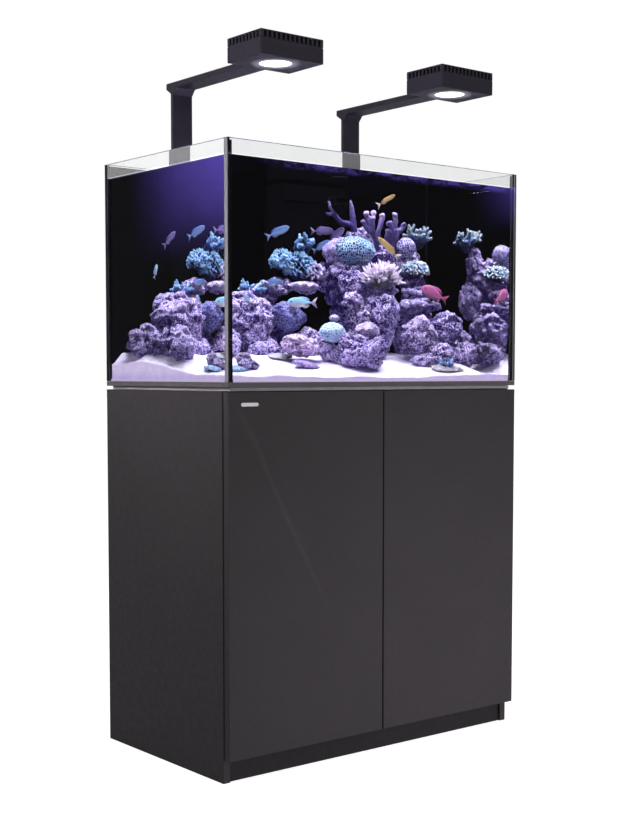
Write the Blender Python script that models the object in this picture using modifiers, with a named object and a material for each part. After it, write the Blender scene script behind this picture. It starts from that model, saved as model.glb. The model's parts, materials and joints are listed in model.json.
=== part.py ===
"""Reef aquarium on a two-door cabinet, with its weir box, pipes, sump and two clamp-on lights.

Units are metres and +Z is up. The origin is on the floor, under the middle of the object's box.
Most places below are given the way a cabinet maker would: from the left side, from the front
face, and from the floor. The function at() turns them into the frame's X, Y and Z.
"""

import math

import bmesh
import bpy
from mathutils import Matrix, Vector

# Driving dimensions
WIDTH = 0.900
DEPTH = 0.515
CABINET_H = 0.868
MAT_H = 0.0085
TANK_H = 0.535
GLASS = 0.012
BASE_GLASS = 0.011
BOARD = 0.0187
DOOR = 0.019
DOOR_SEAM = 0.005
DOOR_MEETING_GAP = 0.004
PLINTH_H = 0.054
PLINTH_SETBACK = 0.030
CLEARANCE = 0.0003

# Lights
LIGHT_X = (0.230, 0.790)
HEAD_W = 0.180
HEAD_D = 0.130
HEAD_H = 0.056
HEAD_CENTRE_Y = 0.132
HEAD_OVER_RIM = 0.207
MAST_W = 0.058
MAST_T = 0.011
ARM_T = 0.014
REAR_REACH = 0.042

# Plumbing, all standing in one row inside the weir box
PIPE_Y = 0.440
DRAIN_X = 0.400
EMERGENCY_X = 0.450
RETURN_X = 0.500
DRAIN_R = 0.016
DRAIN_BORE_R = 0.013
RETURN_R = 0.0125

# Worked out from the dimensions above
FRONT_Y = -(DEPTH + REAR_REACH) / 2
PANEL_FRONT = DOOR + DOOR_SEAM
FLOOR_PANEL_TOP = PLINTH_H + BOARD
TANK_Z = CABINET_H + MAT_H
PANE_Z = TANK_Z + BASE_GLASS
RIM_Z = TANK_Z + TANK_H
HEAD_Z = RIM_Z + HEAD_OVER_RIM
BACK_BOARD = 0.012

# Weir box, against the middle of the back pane
WEIR_X = (0.350, 0.550)
WEIR_Y = 0.393
WEIR_WALL = 0.005
WEIR_Z = PANE_Z + 0.006
WEIR_TOP = RIM_Z - 0.034
RETURN_OUT_Z = RIM_Z - 0.075

# Sand: a slope up from the front pane to a level terrace that carries the rocks
SAND_FRONT = 0.018
SAND_TERRACE = 0.075
SAND_SLOPE_END = 0.140
SAND_INSET = 0.006

# Door hinges: a pin near the outer edge of the door, in a cup let into its rear face
PIN_IN = 0.010
PIN_DEEP = 0.010
PIN_R = 0.0015
CUP_R = 0.0175
CUP_WALL = 0.001
CUP_CENTRE_IN = 0.0225
CUP_FLOOR = 0.0057
EYE_R = 0.003
ARM_PLATE_T = 0.0025
ARM_REACH = 0.012
ARM_LONG = 0.062
HINGE_ARM_H = 0.010
HINGE_Z = (0.140, 0.780)

# Sump and top-up tank, both standing on the cabinet's floor panel
SUMP_X = (0.330, 0.860)
SUMP_Y = (0.105, 0.486)
SUMP_H = 0.340
SUMP_WALL = 0.006
SUMP_BAFFLES = (0.500, 0.700)
SOCK_SHELF_DROP = 0.020
SOCK_CENTRE = (0.420, 0.425)
SOCK_R = 0.044
RESERVOIR_X = (0.036, 0.300)
RESERVOIR_H = 0.400
DRAIN_END_Z = 0.500
VALVE_Z = (0.600, 0.650)
PUMP_X = 0.783
PUMP_Y = (0.230, 0.330)
PUMP_R = 0.033

COLOURS = {
    "cabinet": ((0.040, 0.036, 0.039), 0.45, 0.0),
    "glass": ((0.80, 0.83, 0.86), 0.03, 0.0),
    "base_glass": ((0.070, 0.062, 0.070), 0.25, 0.0),
    "silicone": ((0.012, 0.011, 0.014), 0.55, 0.0),
    "film": ((0.006, 0.006, 0.009), 0.35, 0.0),
    "mat": ((0.34, 0.33, 0.35), 0.60, 0.0),
    "weir": ((0.010, 0.010, 0.012), 0.30, 0.0),
    "pipe": ((0.030, 0.030, 0.032), 0.40, 0.0),
    "valve": ((0.35, 0.02, 0.02), 0.40, 0.0),
    "sand": ((0.80, 0.76, 0.80), 0.90, 0.0),
    "rock": ((0.22, 0.14, 0.30), 0.90, 0.0),
    "steel": ((0.62, 0.62, 0.64), 0.28, 1.0),
    "light": ((0.022, 0.020, 0.026), 0.42, 0.6),
    "lens": ((0.95, 0.97, 1.00), 0.10, 0.0),
    "acrylic": ((0.75, 0.80, 0.84), 0.06, 0.0),
    "cloth": ((0.85, 0.85, 0.82), 0.95, 0.0),
    "badge": ((0.75, 0.75, 0.77), 0.35, 0.0),
}

PLANES = {
    "XY": Matrix.Identity(4),
    "XZ": Matrix.Rotation(math.radians(90), 4, "X"),
    "YZ": Matrix(((0, 0, 1, 0), (1, 0, 0, 0), (0, 1, 0, 0), (0, 0, 0, 1))),
}


def start_empty():
    for obj in list(bpy.data.objects):
        bpy.data.objects.remove(obj)
    for name in ("aquarium_on_stand", "cutters"):
        bpy.context.scene.collection.children.link(bpy.data.collections.new(name))


def at(x, y, z):
    """A point given from the left side, the front face and the floor, in the object's frame."""
    return Vector((x - WIDTH / 2, y + FRONT_Y, z))


def material(name):
    found = bpy.data.materials.get(name)
    if found:
        return found
    colour, roughness, metallic = COLOURS[name]
    made = bpy.data.materials.new(name)
    made.use_nodes = True
    shader = made.node_tree.nodes["Principled BSDF"]
    shader.inputs["Base Color"].default_value = (*colour, 1.0)
    shader.inputs["Roughness"].default_value = roughness
    shader.inputs["Metallic"].default_value = metallic
    return made


def place(name, mesh, matrix, finish):
    """Links a mesh as a named part, or as a cutter when it has no finish."""
    obj = bpy.data.objects.new(name, mesh)
    obj.matrix_world = matrix
    if finish is None:
        bpy.data.collections["cutters"].objects.link(obj)
        obj.hide_render = True
        obj.display_type = "WIRE"
        return obj
    bpy.data.collections["aquarium_on_stand"].objects.link(obj)
    mesh.materials.append(material(finish))
    return obj


def mesh_from(bm, name):
    bmesh.ops.recalc_face_normals(bm, faces=bm.faces)
    mesh = bpy.data.meshes.new(name)
    bm.to_mesh(mesh)
    bm.free()
    return mesh


def box(name, low, high, finish=None, bevel=0.0):
    """A box between two points of at(), with its edges rounded when a bevel is given."""
    low, high = at(*low), at(*high)
    bm = bmesh.new()
    bmesh.ops.create_cube(bm, size=1.0)
    bmesh.ops.scale(bm, vec=high - low, verts=bm.verts)
    obj = place(name, mesh_from(bm, name), Matrix.Translation((low + high) / 2), finish)
    if bevel:
        soften(obj, bevel)
    return obj


def soften(obj, width, segments=2):
    rounding = obj.modifiers.new("rounded edges", "BEVEL")
    rounding.width = width
    rounding.segments = segments
    rounding.limit_method = "ANGLE"


def cylinder(name, radius, start, end, finish=None, sides=32):
    """A round bar between two points of at()."""
    start, end = at(*start), at(*end)
    along = end - start
    bm = bmesh.new()
    bmesh.ops.create_cone(
        bm, cap_ends=True, segments=sides, radius1=radius, radius2=radius, depth=along.length
    )
    turn = along.to_track_quat("Z", "Y").to_matrix().to_4x4()
    obj = place(name, mesh_from(bm, name), Matrix.Translation((start + end) / 2) @ turn, finish)
    smooth(obj)
    return obj


def smooth(obj):
    obj.data.shade_smooth()
    obj.data.set_sharp_from_angle(angle=math.radians(35))


def turned(name, profile, centre, finish, sides=32):
    """A profile of (radius, height) turned about a vertical axis; it runs down its outer side."""
    bm = bmesh.new()
    ring = [bm.verts.new((radius, 0.0, height)) for radius, height in profile]
    for first, second in zip(ring, ring[1:]):
        bm.edges.new((first, second))
    mesh = bpy.data.meshes.new(name)
    bm.to_mesh(mesh)
    bm.free()
    obj = place(name, mesh, Matrix.Translation(at(*centre)), finish)
    screw = obj.modifiers.new("turned", "SCREW")
    screw.steps = sides
    screw.render_steps = sides
    screw.use_merge_vertices = True
    screw.merge_threshold = 0.00001
    screw.use_smooth_shade = True
    return obj


def plate(name, outlines, thickness, plane, centre, finish=None):
    """A flat outline, with any further outlines as holes, given thickness and stood in a plane."""
    curve = bpy.data.curves.new(name, "CURVE")
    curve.dimensions = "2D"
    curve.fill_mode = "BOTH"
    curve.extrude = thickness / 2
    for outline in outlines:
        spline = curve.splines.new("POLY")
        spline.points.add(len(outline) - 1)
        for point, (u, v) in zip(spline.points, outline):
            point.co = (u, v, 0.0, 1.0)
        spline.use_cyclic_u = True
    source = bpy.data.objects.new(name, curve)
    bpy.context.scene.collection.objects.link(source)
    graph = bpy.context.evaluated_depsgraph_get()
    mesh = bpy.data.meshes.new_from_object(source.evaluated_get(graph))
    bpy.data.objects.remove(source)
    bm = bmesh.new()
    bm.from_mesh(mesh)
    bmesh.ops.remove_doubles(bm, verts=bm.verts, dist=0.000001)
    return place(name, mesh_from(bm, name), Matrix.Translation(at(*centre)) @ PLANES[plane], finish)


def tube(name, points, radius, finish):
    """A solid round pipe along a route of at() points."""
    curve = bpy.data.curves.new(name, "CURVE")
    curve.dimensions = "3D"
    curve.bevel_depth = radius
    curve.bevel_resolution = 4
    curve.use_fill_caps = True
    spline = curve.splines.new("POLY")
    spline.points.add(len(points) - 1)
    for point, place_on_route in zip(spline.points, points):
        point.co = (*at(*place_on_route), 1.0)
    obj = bpy.data.objects.new(name, curve)
    bpy.data.collections["aquarium_on_stand"].objects.link(obj)
    curve.materials.append(material(finish))
    return obj


def tool_for(target, tool, operation):
    """Cuts the tool from the target, or joins it on, and lets the tool follow the target."""
    change = target.modifiers.new(tool.name, "BOOLEAN")
    change.operation = operation
    change.object = tool
    tool.parent = target
    tool.matrix_parent_inverse = target.matrix_basis.inverted()


def cut(target, tool):
    tool_for(target, tool, "DIFFERENCE")


def join(target, tool):
    tool_for(target, tool, "UNION")


def hang_on(name, point, pieces):
    """Parents pieces that move together to an empty on their joint's axis."""
    pivot = bpy.data.objects.new(name, None)
    pivot.location = at(*point)
    bpy.data.collections["aquarium_on_stand"].objects.link(pivot)
    for piece in pieces:
        piece.parent = pivot
        piece.matrix_parent_inverse = Matrix.Translation(-pivot.location)


def arc(centre, radius, start, end, steps):
    """Points on an arc, angles in degrees, both ends included."""
    angles = [math.radians(start + (end - start) * i / steps) for i in range(steps + 1)]
    return [(centre[0] + radius * math.cos(a), centre[1] + radius * math.sin(a)) for a in angles]


def bent_route(corners, radius, steps=5):
    """A pipe route through corner points, with each inner corner rounded to an elbow."""
    corners = [Vector(c) for c in corners]
    route = [tuple(corners[0])]
    for before, corner, after in zip(corners, corners[1:], corners[2:]):
        back = (before - corner).normalized()
        on = (after - corner).normalized()
        half = back.angle(on) / 2
        centre = corner + (back + on).normalized() * radius / math.sin(half)
        first = corner + back * radius / math.tan(half) - centre
        last = corner + on * radius / math.tan(half) - centre
        turn = first.angle(last)
        for i in range(steps + 1):
            share = i / steps
            mixed = first * math.sin((1 - share) * turn) + last * math.sin(share * turn)
            route.append(tuple(centre + mixed / math.sin(turn)))
    route.append(tuple(corners[-1]))
    return route


def rotor(blades, hub, tip, share):
    """The outline of a small fan or impeller: straight blades on a round hub."""
    outline = []
    pitch = 360 / blades
    for i in range(blades):
        outline += arc((0, 0), hub, (i - 1 + share / 2) * pitch, (i - share / 2) * pitch, 2)
        outline += arc((0, 0), tip, (i - share / 2) * pitch, (i + share / 2) * pitch, 1)
    return outline


def make_tank():
    glass = {"finish": "glass", "bevel": 0.0005}
    base = box("tank_bottom_pane", (0, 0, TANK_Z), (WIDTH, DEPTH, PANE_Z), "base_glass", 0.001)
    z = (PANE_Z + CLEARANCE, RIM_Z)
    inner = GLASS + CLEARANCE
    box("tank_front_pane", (0, 0, z[0]), (WIDTH, GLASS, z[1]), **glass)
    box("tank_back_pane", (0, DEPTH - GLASS, z[0]), (WIDTH, DEPTH, z[1]), **glass)
    box("tank_left_pane", (0, inner, z[0]), (GLASS, DEPTH - inner, z[1]), **glass)
    box("tank_right_pane", (WIDTH - GLASS, inner, z[0]), (WIDTH, DEPTH - inner, z[1]), **glass)
    film = DEPTH + CLEARANCE
    box("background_film", (0.002, film, z[0]), (WIDTH - 0.002, film + 0.0006, z[1] - 0.002), "film")
    drill_pipe_holes(base, TANK_Z, PANE_Z)
    make_seal(inner)


def make_seal(inner):
    """One bead of silicone: fillets up the four inner corners and round the floor of the tank."""
    leg = 0.005
    past = 0.001
    low = (inner, inner, PANE_Z + CLEARANCE)
    high = (WIDTH - inner, DEPTH - inner, RIM_Z - 0.004)
    bead = box("silicone_seal", low, high, "silicone")
    water = box("cut_seal", [v - past for v in low], (high[0] + past, high[1] + past, high[2] + 0.1))
    soften(water, leg + 2 * past, 1)
    cut(bead, water)


def drill_pipe_holes(panel, low, high):
    """Lets the three pipes through a level panel."""
    for name, x, radius in (
        ("drain", DRAIN_X, DRAIN_R),
        ("emergency", EMERGENCY_X, DRAIN_R),
        ("return", RETURN_X, RETURN_R),
    ):
        ends = (x, PIPE_Y, low - 0.01), (x, PIPE_Y, high + 0.01)
        cut(panel, cylinder(f"cut_{name}_{panel.name}", radius + 0.001, *ends))


def make_mat():
    inset = 0.011
    low, high = CABINET_H + CLEARANCE, TANK_Z - CLEARANCE
    mat = box("levelling_mat", (inset, inset, low), (WIDTH - inset, DEPTH - inset, high), "mat")
    drill_pipe_holes(mat, low, high)


def make_weir():
    """The weir box is a U in plan, closed by the back pane; its comb lifts off the front wall."""
    x0, x1 = WEIR_X
    back = DEPTH - GLASS - CLEARANCE
    w = WEIR_WALL
    outline = [
        (x0, WEIR_Y), (x1, WEIR_Y), (x1, back), (x1 - w, back),
        (x1 - w, WEIR_Y + w), (x0 + w, WEIR_Y + w), (x0 + w, back), (x0, back),
    ]
    middle = (WEIR_Z + WEIR_TOP) / 2
    weir = plate("weir_box", [outline], WEIR_TOP - WEIR_Z, "XY", (0, 0, middle), "weir")
    hole = (RETURN_X, WEIR_Y - 0.01, RETURN_OUT_Z), (RETURN_X, WEIR_Y + 0.01, RETURN_OUT_Z)
    cut(weir, cylinder("cut_return_outlet", RETURN_R + 0.001, *hole))
    make_comb(x0, x0 + 0.118)


def make_comb(x0, x1):
    """A toothed plate in front of the weir's wall, with a ledge that hooks over the wall."""
    low, root, top = WEIR_TOP - 0.045, WEIR_TOP - 0.008, WEIR_TOP + 0.016
    teeth = 15
    pitch = (x1 - x0) / (teeth + 0.5)
    outline = [(x1, low), (x0, low)]
    for i in range(teeth):
        left = x0 + i * pitch
        outline += [(left, top), (left + pitch / 2, top), (left + pitch / 2, root), (left + pitch, root)]
    outline += [(x1 - pitch / 2, top), (x1, top)]
    thick = 0.003
    front = WEIR_Y - CLEARANCE - thick
    comb = plate("weir_comb", [outline], thick, "XZ", (0, front + thick / 2, 0), "weir")
    ledge = WEIR_TOP + CLEARANCE
    hook = box("join_comb_hook", (x0, front + 0.001, ledge), (x0 + 0.004, WEIR_Y + 0.012, ledge + 0.004))
    other = box("join_comb_hook_2", (x1 - 0.004, front + 0.001, ledge), (x1, WEIR_Y + 0.012, ledge + 0.004))
    join(comb, hook)
    join(comb, other)
    hang_on("weir_comb_lift", ((x0 + x1) / 2, WEIR_Y, WEIR_TOP), [comb])


def make_pipes():
    spans = {
        "emergency_pipe": (EMERGENCY_X, DRAIN_END_Z, WEIR_TOP - 0.006),
        "drain_pipe_upper": (DRAIN_X, VALVE_Z[1] + CLEARANCE, WEIR_TOP - 0.060),
        "drain_pipe_lower": (DRAIN_X, DRAIN_END_Z, VALVE_Z[0] - CLEARANCE),
    }
    for name, (x, low, high) in spans.items():
        bore, outer = DRAIN_BORE_R, DRAIN_R
        profile = [(bore, high), (outer, high), (outer, low), (bore, low), (bore, high)]
        turned(name, profile, (x, PIPE_Y, 0), "pipe")
    corners = [
        (PUMP_X, PUMP_Y[0] + 0.018, FLOOR_PANEL_TOP + 0.090),
        (PUMP_X, PUMP_Y[0] + 0.018, 0.520),
        (RETURN_X, PIPE_Y, 0.620),
        (RETURN_X, PIPE_Y, RETURN_OUT_Z),
        (RETURN_X, WEIR_Y - 0.014, RETURN_OUT_Z),
    ]
    tube("return_pipe", bent_route(corners, 0.030), RETURN_R, "pipe")
    make_valve()
    make_nozzle()


def make_valve():
    z = sum(VALVE_Z) / 2
    half = 0.022
    front = PIPE_Y - half
    body = box(
        "gate_valve_body",
        (DRAIN_X - half, front, VALVE_Z[0]),
        (DRAIN_X + half, PIPE_Y + half, VALVE_Z[1]),
        "pipe",
        0.003,
    )
    join(body, cylinder("join_bonnet", 0.012, (DRAIN_X, front - 0.024, z), (DRAIN_X, front + 0.01, z)))
    cut(body, cylinder("cut_bonnet", 0.0045, (DRAIN_X, front - 0.03, z), (DRAIN_X, front - 0.002, z)))
    hub = front - 0.026
    grip = []
    for lobe in range(6):
        grip += arc((0, 0), 0.021, lobe * 60 - 18, lobe * 60 + 18, 3)
        grip += arc((0, 0), 0.0175, lobe * 60 + 24, lobe * 60 + 36, 1)
    knob = plate("gate_valve_knob", [grip], 0.012, "XZ", (DRAIN_X, hub - 0.006, z), "valve")
    join(knob, cylinder("join_spindle", 0.004, (DRAIN_X, hub - 0.006, z), (DRAIN_X, front - 0.004, z)))
    hang_on("gate_valve_turn", (DRAIN_X, hub, z), [knob])


def make_nozzle():
    """A flat nozzle that swings sideways on the end of the return pipe, round its own rounded heel."""
    tip = WEIR_Y - 0.070
    half = 0.011
    pivot = WEIR_Y - 0.014 - CLEARANCE - half
    outline = arc((0, pivot), half, 0, 180, 10) + [
        (-half, pivot - 0.008), (-0.021, tip), (0.021, tip), (half, pivot - 0.008),
    ]
    thick = 0.018
    nozzle = plate("return_nozzle", [outline], thick, "XY", (RETURN_X, 0, RETURN_OUT_Z), "pipe")
    mouth = box(
        "cut_nozzle_mouth",
        (RETURN_X - 0.0185, tip - 0.01, RETURN_OUT_Z - 0.006),
        (RETURN_X + 0.0185, tip + 0.012, RETURN_OUT_Z + 0.006),
    )
    cut(nozzle, mouth)
    hang_on("return_nozzle_swing", (RETURN_X, pivot, RETURN_OUT_Z), [nozzle])


def make_reef():
    front = GLASS + SAND_INSET
    back = DEPTH - GLASS - SAND_INSET
    low = PANE_Z + CLEARANCE
    side = [
        (front, low), (back, low), (back, PANE_Z + SAND_TERRACE),
        (SAND_SLOPE_END, PANE_Z + SAND_TERRACE), (front, PANE_Z + SAND_FRONT),
    ]
    long = WIDTH - 2 * (GLASS + SAND_INSET)
    sand = plate("sand_bed", [side], long, "YZ", (WIDTH / 2, 0, 0), "sand")
    gap = 0.004
    notch = box(
        "cut_sand_at_weir",
        (WEIR_X[0] - gap, WEIR_Y - gap, low - 0.01),
        (WEIR_X[1] + gap, DEPTH, PANE_Z + SAND_TERRACE + 0.01),
    )
    cut(sand, notch)
    boulder("reef_rock_left", (0.180, 0.285), (0.125, 0.105, 0.125))
    boulder("reef_rock_main", (0.590, 0.270), (0.245, 0.105, 0.250))


def boulder(name, centre, size):
    """A plain rough rock with a flat base on the sand terrace, cut a little below its widest."""
    sunk = 0.21 * size[2]
    base = PANE_Z + SAND_TERRACE + CLEARANCE + sunk
    bm = bmesh.new()
    bmesh.ops.create_icosphere(bm, subdivisions=3, radius=1.0)
    for vert in bm.verts:
        x, y, z = vert.co
        bump = 1.0 - 0.08 * (1 + math.sin(5 * x + 2 * z) * math.cos(4 * y - 3 * z))
        vert.co = Vector((x * size[0], y * size[1], z * size[2])) * bump
    cut_plane = {"plane_co": (0, 0, -sunk), "plane_no": (0, 0, -1)}
    geometry = bm.verts[:] + bm.edges[:] + bm.faces[:]
    bmesh.ops.bisect_plane(bm, geom=geometry, clear_outer=True, **cut_plane)
    bmesh.ops.holes_fill(bm, edges=[e for e in bm.edges if e.is_boundary])
    return place(name, mesh_from(bm, name), Matrix.Translation(at(*centre, base)), "rock")


def make_cabinet():
    inner = BOARD + CLEARANCE
    back = DEPTH - BACK_BOARD - CLEARANCE
    finish = {"finish": "cabinet", "bevel": 0.0008}
    box("side_panel_left", (0, PANEL_FRONT, 0), (BOARD, DEPTH, CABINET_H), **finish)
    box("side_panel_right", (WIDTH - BOARD, PANEL_FRONT, 0), (WIDTH, DEPTH, CABINET_H), **finish)
    shelf = {"x": (inner, WIDTH - inner), "y": (PANEL_FRONT, back)}
    level("cabinet_floor", shelf, PLINTH_H, FLOOR_PANEL_TOP)
    top = level("cabinet_top", shelf, CABINET_H - BOARD, CABINET_H)
    drill_pipe_holes(top, CABINET_H - BOARD, CABINET_H)
    rear = box(
        "cabinet_back",
        (inner, DEPTH - BACK_BOARD, PLINTH_H),
        (WIDTH - inner, DEPTH, CABINET_H),
        **finish,
    )
    cut(rear, box("cut_service_hatch", (0.560, 0.45, 0.560), (0.820, 0.55, 0.780)))
    plinth_back = PLINTH_SETBACK + 0.016
    plinth_top = PLINTH_H - CLEARANCE
    box("plinth", (inner, PLINTH_SETBACK, 0), (WIDTH - inner, plinth_back, plinth_top), **finish)
    rail_top = CABINET_H - BOARD - CLEARANCE
    rail = (inner, PANEL_FRONT, rail_top - 0.050), (WIDTH - inner, PANEL_FRONT + 0.018, rail_top)
    box("front_rail", *rail, **finish)
    make_latches(rail_top - 0.050 - CLEARANCE)


def level(name, shelf, low, high):
    (x0, x1), (y0, y1) = shelf["x"], shelf["y"]
    return box(name, (x0, y0, low), (x1, y1, high), "cabinet", 0.0008)


def make_latches(top):
    """Two push latches in one block under the rail, one for each door."""
    middle = WIDTH / 2
    z = top - 0.012
    block = box(
        "latch_block", (middle - 0.036, PANEL_FRONT, top - 0.024), (middle + 0.036, 0.075, top), "pipe", 0.001
    )
    for side, x in (("left", middle - 0.020), ("right", middle + 0.020)):
        cut(block, cylinder(f"cut_latch_{side}", 0.0044, (x, 0.015, z), (x, 0.058, z), sides=24))
        ends = (x, DOOR + CLEARANCE, z), (x, 0.050, z)
        plunger = cylinder(f"latch_plunger_{side}", 0.004, *ends, "steel", 24)
        hang_on(f"latch_push_{side}", (x, DOOR, z), [plunger])


def make_doors():
    middle = WIDTH / 2
    low, high = PLINTH_H, CABINET_H - 0.002
    for side, outer, inner, inward in (
        ("left", 0.0, middle - DOOR_MEETING_GAP / 2, 1),
        ("right", WIDTH, middle + DOOR_MEETING_GAP / 2, -1),
    ):
        x0, x1 = sorted((outer, inner))
        door = box(f"door_{side}", (x0, 0, low), (x1, DOOR, high), "cabinet", 0.001)
        moving = [door]
        for level_name, z in zip(("lower", "upper"), HINGE_Z):
            label = f"{side}_{level_name}"
            moving.append(make_hinge_cup(label, door, outer, inward, z))
            make_hinge_arm(label, outer, inward, z)
        if side == "left":
            moving.append(make_badge(door))
        hang_on(f"door_{side}_hinge", (outer + inward * PIN_IN, PIN_DEEP, 0), moving)


def make_hinge_cup(label, door, outer, inward, z):
    """A steel cup let into the door, with the hinge pin fixed across it near the door's edge."""
    x = outer + inward * CUP_CENTRE_IN
    pocket = (x, CUP_FLOOR - CLEARANCE, z), (x, DOOR + 0.01, z)
    cut(door, cylinder(f"cut_cup_{label}", CUP_R + CLEARANCE, *pocket))
    cup = cylinder(f"hinge_cup_{label}", CUP_R, (x, CUP_FLOOR, z), (x, DOOR, z), "steel")
    hollow = (x, CUP_FLOOR + CUP_WALL, z), (x, DOOR + 0.01, z)
    cut(cup, cylinder(f"cut_hollow_{label}", CUP_R - CUP_WALL, *hollow))
    pin_x = outer + inward * PIN_IN
    half = 0.0103
    ends = (pin_x, PIN_DEEP, z - half), (pin_x, PIN_DEEP, z + half)
    join(cup, cylinder(f"join_pin_{label}", PIN_R, *ends, sides=16))
    return cup


def make_hinge_arm(label, outer, inward, z):
    """A cranked arm: an eye round the pin, a leg along the cup, and a leg back to the side panel."""
    t = ARM_PLATE_T / 2
    inner_face = BOARD + CLEARANCE - PIN_IN
    lean = math.degrees(math.asin(t / EYE_R))
    corner = ARM_REACH + t
    foot = ARM_LONG - 0.034
    outline = arc((0, 0), EYE_R, lean, 360 - lean, 14)
    outline += [(corner, -t), (corner, ARM_LONG), (inner_face, ARM_LONG)]
    outline += [(inner_face, foot), (ARM_REACH - t, foot), (ARM_REACH - t, t)]
    bore = arc((0, 0), PIN_R + 0.0001, 0, 345, 23)
    flat = [[(inward * u, v) for u, v in points] for points in (outline, bore)]
    centre = (outer + inward * PIN_IN, PIN_DEEP, z)
    plate(f"hinge_arm_{label}", flat, HINGE_ARM_H, "XY", centre, "steel")


def make_badge(door):
    """A small plain lozenge let in flush near the left door's top outer corner."""
    half_long, half_high = 0.0235, 0.0040
    deep = 0.0012
    centre_x, centre_z = 0.058, CABINET_H - 0.029

    def lozenge(grow):
        r = half_high + grow
        ends = half_long - half_high
        return arc((ends, 0), r, -90, 90, 8) + arc((-ends, 0), r, 90, 270, 8)

    pocket = plate("cut_badge", [lozenge(CLEARANCE)], 2 * deep, "XZ", (centre_x, 0, centre_z))
    cut(door, pocket)
    thick = deep - 2 * CLEARANCE
    middle = CLEARANCE / 2 + thick / 2
    return plate("door_badge", [lozenge(0)], thick, "XZ", (centre_x, middle, centre_z), "badge")


def make_sump():
    (x0, x1), (y0, y1) = SUMP_X, SUMP_Y
    low = FLOOR_PANEL_TOP + CLEARANCE
    high = low + SUMP_H
    w = SUMP_WALL
    sump = box("sump_tank", (x0, y0, low), (x1, y1, high), "acrylic", 0.001)
    shelf = high - SOCK_SHELF_DROP
    first, second = SUMP_BAFFLES
    over = high + 0.01
    rooms = {
        "sock_below": ((x0 + w, low + w), (first, shelf - w)),
        "sock_above": ((x0 + w, shelf), (first, over)),
        "middle": ((first + w, low + w), (second, over)),
        "pump": ((second + w, low + w), (x1 - w, over)),
    }
    for name, ((left, bottom), (right, top)) in rooms.items():
        cut(sump, box(f"cut_room_{name}", (left, y0 + w, bottom), (right, y1 - w, top)))
    hole = (*SOCK_CENTRE, shelf - 0.03), (*SOCK_CENTRE, shelf + 0.01)
    cut(sump, cylinder("cut_sock_hole", SOCK_R + 0.003, *hole))
    for i, baffle in enumerate(SUMP_BAFFLES):
        drop = 0.060 + 0.050 * i
        notch = (baffle - 0.003, y0 + 0.05, high - drop), (baffle + w + 0.003, y1 - 0.15, over)
        cut(sump, box(f"cut_baffle_{i}", *notch))
    make_reservoir(low)
    make_sock(shelf)
    make_pump(low + w)


def make_reservoir(low):
    (x0, x1), (y0, y1) = RESERVOIR_X, SUMP_Y
    w = 0.005
    high = low + RESERVOIR_H
    tank = box("top_up_tank", (x0, y0, low), (x1, y1, high), "acrylic", 0.002)
    cut(tank, box("cut_top_up", (x0 + w, y0 + w, low + w), (x1 - w, y1 - w, high + 0.01)))


def make_sock(shelf):
    """A felt bag on a flanged ring that drops into the sump's shelf."""
    flange, cloth = 0.004, 0.003
    top = shelf + CLEARANCE + flange
    bottom = shelf - 0.185
    inside = SOCK_R - cloth
    profile = [
        (0, bottom + cloth), (inside - 0.012, bottom + cloth), (inside, bottom + 0.018),
        (inside, top), (SOCK_R + 0.009, top), (SOCK_R + 0.009, top - flange),
        (SOCK_R, top - flange), (SOCK_R, bottom + 0.014), (SOCK_R - 0.013, bottom), (0, bottom),
    ]
    sock = turned("filter_sock", profile, (*SOCK_CENTRE, 0), "cloth")
    hang_on("filter_sock_lift", (*SOCK_CENTRE, shelf), [sock])


def make_pump(floor):
    """A submersible pump lying on the sump's floor, with its impeller behind the open intake."""
    front, rear = PUMP_Y
    z = floor + PUMP_R + 0.002
    body = cylinder("return_pump", PUMP_R, (PUMP_X, front, z), (PUMP_X, rear, z), "pipe")
    neck_top = FLOOR_PANEL_TOP + 0.090 - CLEARANCE
    neck = (PUMP_X, front + 0.018, z), (PUMP_X, front + 0.018, neck_top)
    join(body, cylinder("join_pump_neck", 0.0155, *neck))
    feet = (PUMP_X - 0.030, front + 0.005, floor + CLEARANCE), (PUMP_X + 0.030, rear - 0.005, z - 0.02)
    join(body, box("join_pump_feet", *feet))
    cut(body, cylinder("cut_impeller_room", 0.024, (PUMP_X, front - 0.01, z), (PUMP_X, front + 0.032, z)))
    centre = (PUMP_X, front + 0.018, z)
    impeller = plate("pump_impeller", [rotor(6, 0.007, 0.022, 0.25)], 0.016, "XZ", centre, "pipe")
    hang_on("pump_impeller_spin", centre, [impeller])


def make_light(side, x):
    mast = make_mast(side, x)
    clamp = make_clamp(side, x)
    head = make_head(side, x)
    fan_centre = (x, HEAD_CENTRE_Y, HEAD_Z + 0.0275)
    fan = plate(f"light_fan_{side}", [rotor(7, 0.011, 0.028, 0.45)], 0.007, "XY", fan_centre, "light")
    hang_on(f"light_{side}_rim_slide", (x, DEPTH, RIM_Z), [clamp])
    hang_on(f"light_{side}_height", (x, DEPTH, RIM_Z), [mast, *head])
    hang_on(f"light_{side}_fan_spin", fan_centre, [fan])


def make_mast(side, x):
    """Post and arm in one flat bar, seen from the side: gussets in both corners of the bend."""
    front = DEPTH + 0.0045
    rear = front + MAST_T
    low = RIM_Z - 0.060
    under = HEAD_Z + 0.004
    top = under + ARM_T
    tail = rear + 0.020
    tip = HEAD_CENTRE_Y + HEAD_D / 2 - 0.022
    outline = [
        (front, low), (rear, low), (rear, under - 0.013), (tail, under), (tail, top),
        (tip, top), (tip, under), (front - 0.014, under), (front, under - 0.016),
    ]
    mast = plate(f"light_mast_{side}", [outline], MAST_W, "YZ", (x, 0, 0), "light")
    soften(mast, 0.0008, 1)
    return mast


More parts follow.
